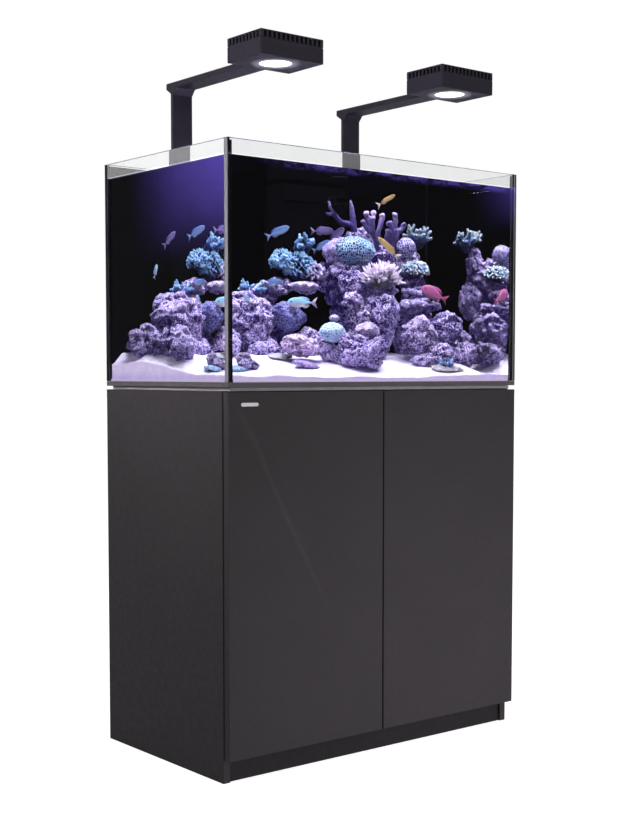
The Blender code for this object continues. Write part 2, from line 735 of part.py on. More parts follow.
def make_clamp(side, x):
    """A hook over the back pane's rim, with a sleeve behind it that the post slides in."""
    half_hook, half_sleeve = 0.024, 0.034
    lip = DEPTH - GLASS - 0.0006
    plate_front, plate_rear = DEPTH + 0.0014, DEPTH + 0.0040
    sleeve_rear = DEPTH + 0.0205
    low = RIM_Z - 0.050
    over = RIM_Z + 0.0006
    slot = DEPTH + 0.0045 - CLEARANCE, DEPTH + 0.0045 + MAST_T + CLEARANCE
    clamp = box(
        f"light_clamp_{side}",
        (x - half_sleeve, plate_front, low),
        (x + half_sleeve, sleeve_rear, RIM_Z - 0.006),
        "light",
        0.0008,
    )
    half_slot = MAST_W / 2 + CLEARANCE
    passage = box(
        f"cut_sleeve_{side}", (x - half_slot, slot[0], low - 0.01), (x + half_slot, slot[1], RIM_Z + 0.01)
    )
    cut(clamp, passage)
    hook = [
        (lip - 0.0035, RIM_Z - 0.030), (lip, RIM_Z - 0.030), (lip, over), (plate_front, over),
        (plate_front, low + 0.001), (plate_rear, low + 0.001), (plate_rear, over + 0.0045),
        (lip - 0.0035, over + 0.0045),
    ]
    join(clamp, plate(f"join_hook_{side}", [hook], 2 * half_hook, "YZ", (x, 0, 0)))
    make_thumb_screw(side, x, clamp, sleeve_rear)
    return clamp


def make_thumb_screw(side, x, clamp, wall):
    z = RIM_Z - 0.028
    shank = 0.0025
    inside = DEPTH + 0.0045 + MAST_T + 0.0006
    hole = (x, inside - 0.0002, z), (x, wall + 0.01, z)
    cut(clamp, cylinder(f"cut_screw_{side}", shank + 0.0003, *hole, sides=24))
    grip = []
    for lobe in range(5):
        grip += arc((0, 0), 0.011, lobe * 72 - 22, lobe * 72 + 22, 3)
        grip += arc((0, 0), 0.0090, lobe * 72 + 30, lobe * 72 + 42, 1)
    head_front, head_rear = wall + 0.004, DEPTH + REAR_REACH
    centre = (x, (head_front + head_rear) / 2, z)
    screw = plate(f"light_clamp_screw_{side}", [grip], head_rear - head_front, "XZ", centre, "light")
    ends = (x, inside, z), (x, head_front + 0.002, z)
    join(screw, cylinder(f"join_screw_shank_{side}", shank, *ends, sides=24))
    hang_on(f"light_{side}_screw_turn", (x, wall, z), [screw])


def make_head(side, x):
    """The lamp's lower housing, its slotted top cover and the round lens."""
    x0, x1 = x - HEAD_W / 2, x + HEAD_W / 2
    y0, y1 = HEAD_CENTRE_Y - HEAD_D / 2, HEAD_CENTRE_Y + HEAD_D / 2
    seam = HEAD_Z + 0.036
    wall = 0.003
    floor = 0.0035
    housing = box(f"light_housing_{side}", (x0, y0, HEAD_Z), (x1, y1, seam), "light", 0.0015)
    hollow = (x0 + wall, y0 + wall, HEAD_Z + floor), (x1 - wall, y1 - wall, seam + 0.01)
    cut(housing, box(f"cut_housing_{side}", *hollow))
    half = MAST_W / 2 + CLEARANCE
    under = HEAD_Z + 0.004 - CLEARANCE
    slot = (x - half, y1 - 0.01, under), (x + half, y1 + 0.01, under + ARM_T + 2 * CLEARANCE)
    cut(housing, box(f"cut_arm_slot_{side}", *slot))
    lens_r = 0.038
    ends = (x, HEAD_CENTRE_Y, HEAD_Z - 0.01), (x, HEAD_CENTRE_Y, HEAD_Z + 0.01)
    cut(housing, cylinder(f"cut_lens_{side}", lens_r + CLEARANCE, *ends, sides=48))
    glow = (x, HEAD_CENTRE_Y, HEAD_Z + 0.001), (x, HEAD_CENTRE_Y, HEAD_Z + 0.004)
    lens = cylinder(f"light_lens_{side}", lens_r, *glow, "lens", 48)
    low, high = seam + CLEARANCE, HEAD_Z + HEAD_H
    cover = box(f"light_cover_{side}", (x0, y0, low), (x1, y1, high), "light", 0.0015)
    roof = high - 0.003
    hollow = (x0 + wall, y0 + wall, low - 0.01), (x1 - wall, y1 - wall, roof)
    cut(cover, box(f"cut_cover_{side}", *hollow))
    across = slot_row(f"cut_slots_y_{side}", (x0, x1), (y0 - 0.01, y1 + 0.01), (low + 0.002, roof), 13, 0)
    along = slot_row(f"cut_slots_x_{side}", (y0, y1), (x0 - 0.01, x1 + 0.01), (low + 0.002, roof), 9, 1)
    cut(cover, across)
    cut(cover, along)
    return [housing, lens, cover]


def slot_row(name, span, through, height, count, axis):
    """A row of upright slots along X (axis 0) or Y (axis 1), running right through the cover."""
    edge = 0.006
    pitch = (span[1] - span[0] - 2 * edge) / count
    width = 0.55 * pitch
    bm = bmesh.new()
    for i in range(count):
        centre = span[0] + edge + (i + 0.5) * pitch
        low = [centre - width / 2, through[0], height[0]]
        high = [centre + width / 2, through[1], height[1]]
        if axis:
            low[0], low[1] = low[1], low[0]
            high[0], high[1] = high[1], high[0]
        low, high = at(*low), at(*high)
        made = bmesh.ops.create_cube(bm, size=1.0)["verts"]
        bmesh.ops.scale(bm, vec=high - low, verts=made)
        bmesh.ops.translate(bm, vec=(low + high) / 2, verts=made)
    return place(name, mesh_from(bm, name), Matrix.Identity(4), None)


def build():
    start_empty()
    make_cabinet()
    make_doors()
    make_sump()
    make_mat()
    make_tank()
    make_weir()
    make_pipes()
    make_reef()
    for side, x in zip(("left", "right"), LIGHT_X):
        make_light(side, x)


build()
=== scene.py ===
"""Reef aquarium on its cabinet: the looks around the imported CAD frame."""

import json
import math
import random

import bmesh
import bpy
import numpy as np
from mathutils import Matrix, Vector, noise


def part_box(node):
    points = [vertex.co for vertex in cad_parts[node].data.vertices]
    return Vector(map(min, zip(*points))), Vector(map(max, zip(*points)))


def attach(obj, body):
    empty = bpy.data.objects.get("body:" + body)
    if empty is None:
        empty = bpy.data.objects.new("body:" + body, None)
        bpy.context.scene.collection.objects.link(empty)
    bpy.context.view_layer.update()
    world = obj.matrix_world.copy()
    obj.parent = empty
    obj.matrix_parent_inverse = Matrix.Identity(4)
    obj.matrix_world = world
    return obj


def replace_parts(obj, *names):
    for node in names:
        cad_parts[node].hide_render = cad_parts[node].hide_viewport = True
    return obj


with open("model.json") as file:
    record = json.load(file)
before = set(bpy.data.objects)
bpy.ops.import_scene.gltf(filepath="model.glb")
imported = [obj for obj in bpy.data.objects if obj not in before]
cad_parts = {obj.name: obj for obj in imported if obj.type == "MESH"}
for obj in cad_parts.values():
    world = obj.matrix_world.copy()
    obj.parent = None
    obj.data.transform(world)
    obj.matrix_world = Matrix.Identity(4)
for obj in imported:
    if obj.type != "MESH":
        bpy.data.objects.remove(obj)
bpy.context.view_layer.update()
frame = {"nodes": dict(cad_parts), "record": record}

NODES = frame["nodes"]

# ---------------------------------------------------------------- places

LOW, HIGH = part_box("tank_bottom_pane")
LEFT, FRONT, PANE_TOP = LOW.x, LOW.y, HIGH.z
WIDTH = HIGH.x - LOW.x
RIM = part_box("tank_front_pane")[1].z
WATER_DROP = 0.034
WATER_LEVEL = RIM - WATER_DROP
INNER_LOW = Vector((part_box("tank_left_pane")[1].x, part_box("tank_front_pane")[1].y, PANE_TOP))
INNER_HIGH = Vector((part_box("tank_right_pane")[0].x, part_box("tank_back_pane")[0].y, RIM))
WEIR_LOW, WEIR_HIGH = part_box("weir_box")
GAP = 0.0006
BLUR = 0.001
GOLDEN_ANGLE = 2.39996
FULL_TURN = 2 * math.pi


def metres(values):
    return tuple(value / 1000 for value in values)


def inside(place):
    """A point in the tank, given in millimetres from the left side, the front face and the tank's floor."""
    x, y, h = metres(place)
    return Vector((LEFT + x, FRONT + y, PANE_TOP + h))


# ---------------------------------------------------------------- materials


def linear(red, green, blue):
    """An 8-bit screen colour as linear light."""
    out = []
    for value in (red, green, blue):
        v = value / 255
        out.append(v / 12.92 if v <= 0.04045 else ((v + 0.055) / 1.055) ** 2.4)
    return (*out, 1.0)


def toned(colour, share):
    """The colour made darker or lighter."""
    return tuple(min(1.0, c * share) for c in colour[:3]) + (1.0,)


def lit(red, green, blue, share=0.5):
    """The colour of a surface that shows as this screen colour under the tank's light."""
    return toned(linear(red, green, blue), share)


class Tree:
    """A shader tree, with short names for the nodes in it."""

    def __init__(self, tree):
        self.tree = tree
        self.place = self.node("ShaderNodeTexCoord").outputs["Object"]

    def feed(self, node, sockets):
        """Gives each socket its value, or links it to another node's output."""
        for key, value in sockets.items():
            if isinstance(value, bpy.types.NodeSocket):
                self.tree.links.new(value, node.inputs[key])
            else:
                node.inputs[key].default_value = value

    def node(self, kind, sockets=None, **settings):
        made = self.tree.nodes.new(kind)
        for key, value in settings.items():
            setattr(made, key, value)
        self.feed(made, sockets or {})
        return made

    def stretched(self, x, y, z):
        """Object coordinates scaled along each axis, for grain."""
        return self.node("ShaderNodeMapping", {"Vector": self.place, "Scale": (x, y, z)}).outputs["Vector"]

    def noise(self, scale, detail=4.0, roughness=0.55, distortion=0.0, where=None):
        sockets = {"Vector": where or self.place, "Scale": scale, "Detail": detail}
        sockets.update({"Roughness": roughness, "Distortion": distortion})
        return self.node("ShaderNodeTexNoise", sockets).outputs["Fac"]

    def cells(self, scale, feature="F1", randomness=1.0, where=None):
        sockets = {"Vector": where or self.place, "Scale": scale, "Randomness": randomness}
        return self.node("ShaderNodeTexVoronoi", sockets, feature=feature).outputs["Distance"]

    def attribute(self, name):
        return self.node("ShaderNodeAttribute", attribute_name=name).outputs["Fac"]

    def axis(self, letter, vector=None):
        return self.node("ShaderNodeSeparateXYZ", {"Vector": vector or self.place}).outputs[letter]

    def facing(self, letter):
        return self.axis(letter, self.node("ShaderNodeNewGeometry").outputs["Normal"])

    def between(self, value, low, high, to_low=0.0, to_high=1.0):
        """Eases from one number to the other while the value goes from low to high."""
        sockets = {"Value": value, "From Min": low, "From Max": high, "To Min": to_low, "To Max": to_high}
        return self.node("ShaderNodeMapRange", sockets, interpolation_type="SMOOTHSTEP").outputs["Result"]

    def below(self, value, limit):
        """1 below the limit, 0 above it."""
        return self.between(value, limit, limit + BLUR, 1.0, 0.0)

    def maths(self, operation, first, second=0.0):
        return self.node("ShaderNodeMath", {0: first, 1: second}, operation=operation).outputs["Value"]

    def times(self, first, second):
        return self.maths("MULTIPLY", first, second)

    def plus(self, first, second):
        return self.maths("ADD", first, second)

    def off_middle(self):
        """How far a point is from the middle of the tank, to the left or right."""
        return self.maths("ABSOLUTE", self.axis("X"))

    def ramp(self, value, *stops):
        """A colour for each place along the value: stops are (place, colour)."""
        made = self.node("ShaderNodeValToRGB", {"Fac": value})
        points = made.color_ramp.elements
        while len(points) < len(stops):
            points.new(0.5)
        for point, (place, colour) in zip(points, stops):
            point.position = place
            point.color = colour
        return made.outputs["Color"]

    def mix(self, share, first, second):
        sockets = {0: share, 6: first, 7: second}
        return self.node("ShaderNodeMix", sockets, data_type="RGBA").outputs[2]

    def bump(self, height, strength, depth, under=None):
        sockets = {"Strength": strength, "Distance": depth, "Height": height}
        if under:
            sockets["Normal"] = under
        return self.node("ShaderNodeBump", sockets).outputs["Normal"]


class Finish(Tree):
    """A material with one Principled shader."""

    def __init__(self, name, colour=(0.5, 0.5, 0.5, 1.0), **sockets):
        self.material = bpy.data.materials.new(name)
        self.material.use_nodes = True
        super().__init__(self.material.node_tree)
        self.shader = self.tree.nodes["Principled BSDF"]
        self.set(Base_Color=colour, **sockets)

    def set(self, **sockets):
        """Feeds the shader's own sockets."""
        self.feed(self.shader, {key.replace("_", " "): value for key, value in sockets.items()})


def board_finish(name, tone, shift):
    """Matt charcoal laminate: a fine pressed texture with pale specks, and faint cloudiness."""
    made = Finish(name, Roughness=0.52, Specular_IOR_Level=0.35)
    cloud = made.noise(5.0, 3.0, 0.5, where=made.stretched(1.0, 1.0, 1.0 + shift))
    fine = made.noise(900.0, 3.0, 0.7)
    colour = made.ramp(cloud, (0.3, toned(tone, 0.95)), (0.7, toned(tone, 1.05)))
    made.set(
        Base_Color=made.mix(made.between(fine, 0.35, 0.75, 0.0, 0.16), colour, toned(tone, 2.2)),
        Roughness=made.between(made.noise(60.0), 0.3, 0.7, 0.46, 0.60),
        Normal=made.bump(fine, 0.25, 0.0002),
    )
    return made.material


def plain_finish(name, colour, roughness, metallic=0.0, grain=400.0, relief=0.00008, gloss=0.5):
    """A moulded, painted or coated surface: slight tone change, a fine grain, uneven gloss."""
    made = Finish(name, colour, Metallic=metallic, Specular_IOR_Level=gloss)
    made.set(
        Base_Color=made.ramp(made.noise(30.0), (0.3, toned(colour, 0.9)), (0.7, toned(colour, 1.1))),
        Roughness=made.between(made.noise(90.0, 3.0), 0.3, 0.7, roughness * 0.88, roughness * 1.12),
        Normal=made.bump(made.noise(grain, 2.0), 0.3, relief),
    )
    return made.material


def glass_finish(name, ior, edge_axis, edge_colour, glow=None, painted_waterline_power=0.0, salt=0.0):
    """Float glass. Above the water line it carries a film of dried salt; its cut edges are ground.
    glow is painted light below the water line: a painted glow where the lit water shows in the pane, a
    painted bright line at the water line and painted violet ripples just under it: (strength, axis, start,
    end, foot)."""
    made = Finish(name, Roughness=0.0, IOR=ior)
    height = made.axis("Z")
    above = made.between(height, WATER_LEVEL + 0.0005, WATER_LEVEL + 0.003)
    if edge_axis == "X":
        above = made.times(above, made.below(made.off_middle(), -LEFT - 0.014))
    film = made.times(above, made.between(made.noise(9.0, 2.0), 0.3, 0.7, salt * 0.92, salt * 1.08))
    edge = made.between(made.maths("ABSOLUTE", made.facing(edge_axis)), 0.55, 0.65)
    solid = made.maths("MAXIMUM", film, made.times(edge, 0.96))
    made.set(
        Base_Color=made.mix(edge, (0.99, 1.0, 1.0, 1.0), edge_colour),
        Transmission_Weight=made.maths("SUBTRACT", 1.0, solid),
        Roughness=made.times(edge, 0.3),
    )
    if not glow:
        return made.material
    strength, axis, start, end, foot = glow
    # Painted light, as emission: a glow of the lit water, a bright line at the water line, violet ripples
    # under it.
    under = made.below(height, WATER_LEVEL - BLUR)
    share = made.times(made.between(height, foot, WATER_LEVEL), made.between(made.axis(axis), start, end))
    share = made.times(made.times(share, under), made.between(made.noise(6.0, 3.0), 0.2, 0.8, 0.75, 1.1))
    line = made.times(
        made.between(height, WATER_LEVEL - 0.0008, WATER_LEVEL - 0.0002),
        made.between(height, WATER_LEVEL + 0.0008, WATER_LEVEL + 0.0014, 1.0, 0.0),
    )
    broken = made.noise(26.0, 5.0, 0.7, 1.2, made.stretched(1.0, 1.0, 2.2))
    off_corner = made.between(made.axis("X"), -0.38, -0.24)
    ripple = made.times(made.between(broken, 0.44, 0.62, 0.0, 0.17), off_corner)
    painted_ripple_band = made.times(made.between(height, WATER_LEVEL - 0.020, WATER_LEVEL - 0.001), ripple)
    power = made.plus(made.times(share, strength), made.times(line, painted_waterline_power))
    power = made.plus(power, made.times(painted_ripple_band, under))
    # The painted light is white at the water line and violet under the water.
    made.set(
        Emission_Color=made.mix(under, (0.93, 0.93, 1.0, 1.0), linear(132, 108, 255)),
        Emission_Strength=made.times(power, made.maths("SUBTRACT", 1.0, edge)),
    )
    return made.material


def finish_cad():
    ground, sealed = linear(122, 119, 126), linear(30, 27, 34)
    by_node = {
        # The plinth's darker tone is painted shade, for the shadow under the doors.
        "plinth": board_finish("charcoal_plinth", linear(36, 33, 37), 0.6),
        # For the front, left and right panes: the painted glow of the lit water, the strength of the painted
        # water-line highlight, then the salt film.
        "tank_front_pane": glass_finish(
            "glass_front", 1.45, "X", ground, (0.07, "X", 0.28, 0.52, 1.26), 0.10, 0.13),
        "tank_back_pane": glass_finish("glass_back", 1.04, "X", sealed),
        "tank_left_pane": glass_finish(
            "glass_left", 1.45, "Y", sealed, (0.16, "Y", 0.14, FRONT, 1.14), 0.5, 0.13),
        "tank_right_pane": glass_finish(
            "glass_right", 1.45, "Y", sealed, (0.05, "Y", 0.16, FRONT, 1.20), 0.2, 0.10),
    }
    doors = board_finish("charcoal_door", linear(51, 47, 50), 0.3)
    for side in ("left", "right"):
        by_node[f"door_{side}"] = doors
        by_node[f"light_housing_{side}"] = housing_finish(side)
    acrylic = Finish("clear_acrylic", (0.93, 0.95, 0.96, 1.0), Roughness=0.03, IOR=1.30)
    waves = acrylic.bump(acrylic.noise(25.0, 2.0), 0.1, 0.0004)
    acrylic.set(Transmission_Weight=0.94, Normal=waves)
    smooth = {"grain": 60.0, "relief": 0.00002}
    by_slot = {
        "cabinet_board": board_finish("charcoal_board", linear(52, 48, 51), 0.0),
        "dark_glass": plain_finish("smoked_base_glass", linear(84, 78, 84), 0.22, **smooth),
        "black_silicone": silicone_finish(),
        "background_black": plain_finish("black_film", linear(10, 8, 22), 0.9, grain=120.0, gloss=0.0),
        "grey_mat": plain_finish("levelling_foam", linear(158, 155, 160), 0.85, 0.0, 1500.0, 0.0004),
        "weir_black": plain_finish("black_acrylic", linear(6, 5, 9), 0.6, 0.0, 40.0, 0.00002, gloss=0.0),
        "pipe_black": plain_finish("black_pvc", linear(8, 7, 11), 0.6, gloss=0.02),
        "valve_red": plain_finish("red_plastic", linear(168, 26, 26), 0.38),
        "steel": plain_finish("plated_steel", linear(196, 196, 200), 0.28, 1.0, 700.0),
        "light_black": plain_finish("anodised_black", linear(51, 46, 58), 0.46, 0.25, 1300.0, 0.00006),
        "lamp_lens": lens_finish(),
        "clear_acrylic": acrylic.material,
        "filter_felt": plain_finish("white_felt", linear(226, 226, 222), 0.95, 0.0, 1100.0, 0.0008),
        "badge_grey": plain_finish("badge_grey", linear(204, 204, 208), 0.35),
    }
    for part in frame["record"]["subparts"]:
        finish = by_node.get(part["node"]) or by_slot.get(part["material_slot"])
        if finish:
            materials = NODES[part["node"]].data.materials
            materials.clear()
            materials.append(finish)


def silicone_finish():
    """Black in the corners; along the floor the bead is painted lilac like the sand behind it, with a painted
    glow.
    """
    made = Finish("silicone_bead", Roughness=0.6, Specular_IOR_Level=0.1)
    low = made.below(made.axis("Z"), PANE_TOP + 0.0055)
    front = made.below(made.axis("Y"), INNER_LOW.y + 0.008)
    front = made.times(front, made.below(made.off_middle(), -LEFT - 0.019))
    left = made.below(made.axis("X"), INNER_LOW.x + 0.008)
    left = made.times(left, made.between(made.axis("Y"), INNER_LOW.y + 0.006, INNER_LOW.y + 0.007))
    # Painted glow: where the bead stands in front of the sand, it is painted lilac and glows.
    clear = made.times(low, made.maths("MAXIMUM", front, left))
    wavy = made.noise(250.0, 2.0)
    black = made.ramp(wavy, (0.3, linear(11, 8, 20)), (0.7, linear(17, 12, 28)))
    made.set(
        Base_Color=made.mix(clear, black, linear(190, 178, 206)),
        Emission_Color=linear(206, 196, 222),
        Emission_Strength=made.times(clear, 0.70),
        Normal=made.bump(wavy, 0.3, 0.0002),
    )
    return made.material


def housing_finish(side):
    """The lamp's housing, with a painted glow of the lens's light on the underside around the lens."""
    low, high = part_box(f"light_lens_{side}")
    radius = (high.x - low.x) / 2
    made = Finish(f"housing_black_{side}", Metallic=0.25)
    tone = linear(51, 46, 58)
    off_x = made.maths("SUBTRACT", made.axis("X"), (low.x + high.x) / 2)
    off_y = made.maths("SUBTRACT", made.axis("Y"), (low.y + high.y) / 2)
    away = made.maths("SQRT", made.plus(made.maths("POWER", off_x, 2.0), made.maths("POWER", off_y, 2.0)))
    # Painted light: the lens's glow painted on the housing as emission, fading away from the lens.
    painted_lens_glow = made.between(away, radius * 0.9, radius * 1.7, 0.30, 0.0)
    downward = made.between(made.facing("Z"), -0.9, -0.6, 1.0, 0.0)
    made.set(
        Base_Color=made.ramp(made.noise(30.0), (0.3, toned(tone, 0.9)), (0.7, tone)),
        Roughness=made.between(made.noise(90.0, 3.0), 0.3, 0.7, 0.40, 0.52),
        Normal=made.bump(made.noise(1300.0, 2.0), 0.3, 0.00006),
        Emission_Color=(0.80, 0.80, 1.0, 1.0),
        Emission_Strength=made.times(painted_lens_glow, downward),
    )
    return made.material


def lens_finish():
    """The lit diffuser: white, with a faint bluish ripple."""
    made = Finish("lit_lens", (0.9, 0.92, 1.0, 1.0), Roughness=0.3)
    glow = made.ramp(made.noise(300.0, 2.0), (0.3, (0.94, 0.95, 1.0, 1.0)), (0.7, (1.0, 1.0, 1.0, 1.0)))
    made.set(Emission_Color=glow, Emission_Strength=2.2)
    return made.material


def round_edges():
    """Small worked edges on the CAD parts, as modifiers, so that their meshes stay as packed."""
    weld_gap, sharp = 0.00001, math.radians(40)
    sizes = {"cabinet_board": 0.0009, "dark_glass": 0.0008, "light_black": 0.0008, "grey_mat": 0.0012}
    sizes["steel"] = 0.0003
    for slot in ("clear_glass", "weir_black", "clear_acrylic", "pipe_black", "valve_red"):
        sizes[slot] = 0.0005
    for part in frame["record"]["subparts"]:
        modifiers = NODES[part["node"]].modifiers
        modifiers.new("weld", "WELD").merge_threshold = weld_gap
        if part["material_slot"] in sizes:
            bevel = modifiers.new("edge", "BEVEL")
            bevel.width = sizes[part["material_slot"]]
            bevel.segments = 2
            bevel.limit_method = "ANGLE"
            bevel.angle_limit = sharp


# ---------------------------------------------------------------- stage


def add_object(name, data):
    made = bpy.data.objects.new(name, data)
    bpy.context.scene.collection.objects.link(made)
    return made


def make_camera():
    """The eye stands front left, level with the tank's floor, and looks a little down."""
    camera = add_object("camera", bpy.data.cameras.new("camera"))
    downward, rightward = 3.604, 38.864
    camera.location = (-2.153, -2.687, 0.909)
    camera.rotation_euler = (math.radians(90 - downward), 0.0, math.radians(-rightward))
    lens = {"sensor_width": 36, "lens": 60.35, "shift_x": 0.0091, "shift_y": 0.0638, "clip_end": 200}
    for key, value in lens.items():
        setattr(camera.data, key, value)
    bpy.context.scene.camera = camera


def make_floor():
    """A pale studio floor. It is dimmer to bounced light, so that it doesn't wash out the dark boards."""
    bm = bmesh.new()
    bmesh.ops.create_grid(bm, x_segments=4, y_segments=4, size=40.0)
    floor = add_object("studio_floor", mesh_of(bm, "studio_floor"))
    made = Finish("studio_white", (0.86, 0.86, 0.86, 1.0), Roughness=0.9, Specular_IOR_Level=0.1)
    path = made.node("ShaderNodeLightPath").outputs
    bounced = made.maths("MINIMUM", made.plus(path["Diffuse Depth"], path["Glossy Depth"]), 1.0)
    pale = made.ramp(made.noise(0.6, 2.0), (0.3, (0.85, 0.85, 0.86, 1)), (0.7, (0.87, 0.87, 0.87, 1)))
    made.set(
        Base_Color=made.mix(bounced, pale, (0.30, 0.30, 0.31, 1.0)),
        Emission_Color=(1.0, 1.0, 1.0, 1.0),
        Emission_Strength=made.between(bounced, 0.0, 1.0, 0.72, 0.10),
    )
    floor.data.materials.append(made.material)


def make_world():
    """White behind the object; what lights and glosses it is a softer sky, dark near the horizon."""
    ambient = 0.40
    world = bpy.data.worlds.new("studio")
    bpy.context.scene.world = world
    world.use_nodes = True
    sky = Tree(world.node_tree)
    path = sky.node("ShaderNodeLightPath").outputs
    height = sky.axis("Z", sky.node("ShaderNodeTexCoord").outputs["Generated"])

    def choose(depth, no, yes):
        switch = sky.maths("GREATER_THAN", path[depth], 0.5)
        return sky.node("ShaderNodeMix", {0: switch, 2: no, 3: yes}, data_type="FLOAT").outputs[0]

    straight = choose("Glossy Depth", 1.0, sky.between(height, 0.25, 0.8, 0.03, 0.9))
    strength = choose("Diffuse Depth", straight, ambient)
    sky.feed(world.node_tree.nodes["Background"], {"Strength": strength, "Color": (1.0, 1.0, 1.0, 1.0)})


def soft_box(name, place, target, size, power, colour=(1.0, 1.0, 1.0), spread=180):
    """A rectangular lamp that is not seen itself."""
    data = bpy.data.lights.new(name, "AREA")
    data.shape = "RECTANGLE"
    data.size, data.size_y = size
    data.energy = power
    data.color = colour
    data.spread = math.radians(spread)
    lamp = add_object(name, data)
    lamp.location = place
    lamp.rotation_euler = (Vector(target) - Vector(place)).to_track_quat("-Z", "Y").to_euler()
    lamp.visible_camera = lamp.visible_transmission = lamp.visible_glossy = False


def make_lights():
    soft_box("key", (-2.2, -2.6, 3.6), (0, 0, 0.7), (2.4, 2.4), 42)
    soft_box("over", (0.6, 0.2, 4.2), (0, 0, 0.8), (3.0, 3.0), 46)
    soft_box("left", (-3.2, 0.5, 2.2), (-0.4, 0, 1.25), (1.2, 0.8), 5.2, spread=28)
    soft_box("front_low", (1.6, -3.8, 0.5), (0.1, 0, 0.15), (1.2, 0.8), 5.0, spread=34)
    room = INNER_HIGH - INNER_LOW
    middle = (INNER_LOW.y + INNER_HIGH.y) / 2
    over_reef = (0.0, middle, WATER_LEVEL - 0.006)
    size = (room.x * 0.97, room.y * 0.94)
    soft_box("tank_light", over_reef, (0.0, middle, 0.5), size, 13.0, (0.88, 0.86, 1.0), 84)


# ---------------------------------------------------------------- mesh helpers


def piece(name, mesh, finish, body="stand", smooth=True):
    obj = add_object(name, mesh)
    mesh.materials.append(finish)
    if smooth:
        mesh.polygons.foreach_set("use_smooth", [True] * len(mesh.polygons))
    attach(obj, body)
    return obj


def mesh_of(bm, name):
    mesh = bpy.data.meshes.new(name)
    bm.to_mesh(mesh)
    bm.free()
    return mesh


def fused(mesh, voxel, smooth=0):
    """The mesh remade as one skin by a voxel remesh."""
    obj = add_object("fusing", mesh)
    remesh = obj.modifiers.new("fuse", "REMESH")
    remesh.mode = "VOXEL"
    remesh.voxel_size = voxel
    if smooth:
        obj.modifiers.new("soften", "SMOOTH").iterations = smooth
    depsgraph = bpy.context.evaluated_depsgraph_get()
    made = bpy.data.meshes.new_from_object(obj.evaluated_get(depsgraph), depsgraph=depsgraph)
    bpy.data.objects.remove(obj)
    made.name = mesh.name
    return made


def vectors_of(items, key):
    flat = np.zeros(len(items) * 3, np.float32)
    items.foreach_get(key, flat)
    return flat.reshape(-1, 3).astype(float)


def points_of(mesh):
    return vectors_of(mesh.vertices, "co")


def put_points(mesh, points):
    mesh.vertices.foreach_set("co", points.astype(np.float32).ravel())
    mesh.update()


def put_values(mesh, name, values):
    layer = mesh.attributes.new(name, "FLOAT", "POINT")
    layer.data.foreach_set("value", np.asarray(values, np.float32))


RELIEF = {
    "noise": noise.noise,
    "ridge": lambda at: 0.5 - abs(noise.noise(at)) * 2,
    "pits": lambda at: min(noise.voronoi(at)[0][0], 0.7) / 0.35 - 1,
}


def roughen(mesh, *layers):
    """Pushes each vertex along its normal: layers are (kind, scale, depth)."""
    points = points_of(mesh)
    normals = vectors_of(mesh.vertex_normals, "vector")
    push = np.zeros(len(points))
    for kind, scale, depth in layers:
        for i, point in enumerate(points):
            push[i] += depth * RELIEF[kind](Vector(point * scale))
    put_points(mesh, points + normals * push[:, None])


def put_hollows(mesh, rounds, depth):
    """Stores how deep each vertex sits in a hollow: 0 on the flat, 1 in a crevice, -1 on a crest.
    The finishes paint shade and highlights from it.
    """
    points = points_of(mesh)
    normals = vectors_of(mesh.vertex_normals, "vector")
    ends = np.zeros(len(mesh.edges) * 2, np.int64)
    mesh.edges.foreach_get("vertices", ends)
    first = np.concatenate((ends[0::2], ends[1::2]))
    second = np.concatenate((ends[1::2], ends[0::2]))
    neighbours = np.maximum(np.bincount(first, minlength=len(points)), 1)
    even = points.copy()
    for _ in range(rounds):
        for axis in range(3):
            total = np.bincount(first, weights=even[second, axis], minlength=len(points))
            even[:, axis] = total / neighbours
    outward = ((even - points) * normals).sum(1)
    put_values(mesh, "hollow", np.clip(outward / depth, -1, 1))


def keep_in_tank(mesh):
    """Holds the vertices inside the panes and in front of the weir box."""
    margin, off_weir = 0.004, 0.006
    low = np.array(INNER_LOW) + margin
    high = np.array((INNER_HIGH.x, INNER_HIGH.y, WATER_LEVEL)) - margin
    points = np.clip(points_of(mesh), low, high)
    in_weir = (points[:, 0] > WEIR_LOW.x - margin) & (points[:, 0] < WEIR_HIGH.x + margin)
    points[:, 1] = np.where(in_weir, np.minimum(points[:, 1], WEIR_LOW.y - off_weir), points[:, 1])
    put_points(mesh, points)


def skin(bm, rings):
    """Faces from ring to ring, and one over each end."""
    count = len(rings[0])
    for first, second in zip(rings, rings[1:]):
        for k in range(count):
            after = (k + 1) % count
            bm.faces.new((first[k], first[after], second[after], second[k]))
    bm.faces.new(tuple(reversed(rings[0])))
    bm.faces.new(tuple(rings[-1]))


def stray(rng, side, low, high):
    """A random direction: sideways up to the given share, and upwards from low to high."""
    return Vector((rng.uniform(-side, side), rng.uniform(-side, side), rng.uniform(low, high)))


def scaled(unit, radii):
    return Vector((unit.x * radii[0], unit.y * radii[1], unit.z * radii[2]))


def around_z(turn, height=0.0, reach=1.0):
    """A step outwards at this turn about the vertical, and upwards by the height."""
    return Vector((math.cos(turn) * reach, math.sin(turn) * reach, height))


def one_of_many(k, count, depth, jitter, rng):
    """The k-th of some directions spread evenly over a ball, from its top down to a depth."""
    up = 1 - depth * (k + 0.5) / count
    turn = k * GOLDEN_ANGLE + rng.uniform(-jitter, jitter)
    flat = math.sqrt(max(0.0, 1 - up * up))
    return Vector((flat * math.cos(turn), flat * math.sin(turn), up))


# ---------------------------------------------------------------- lamps


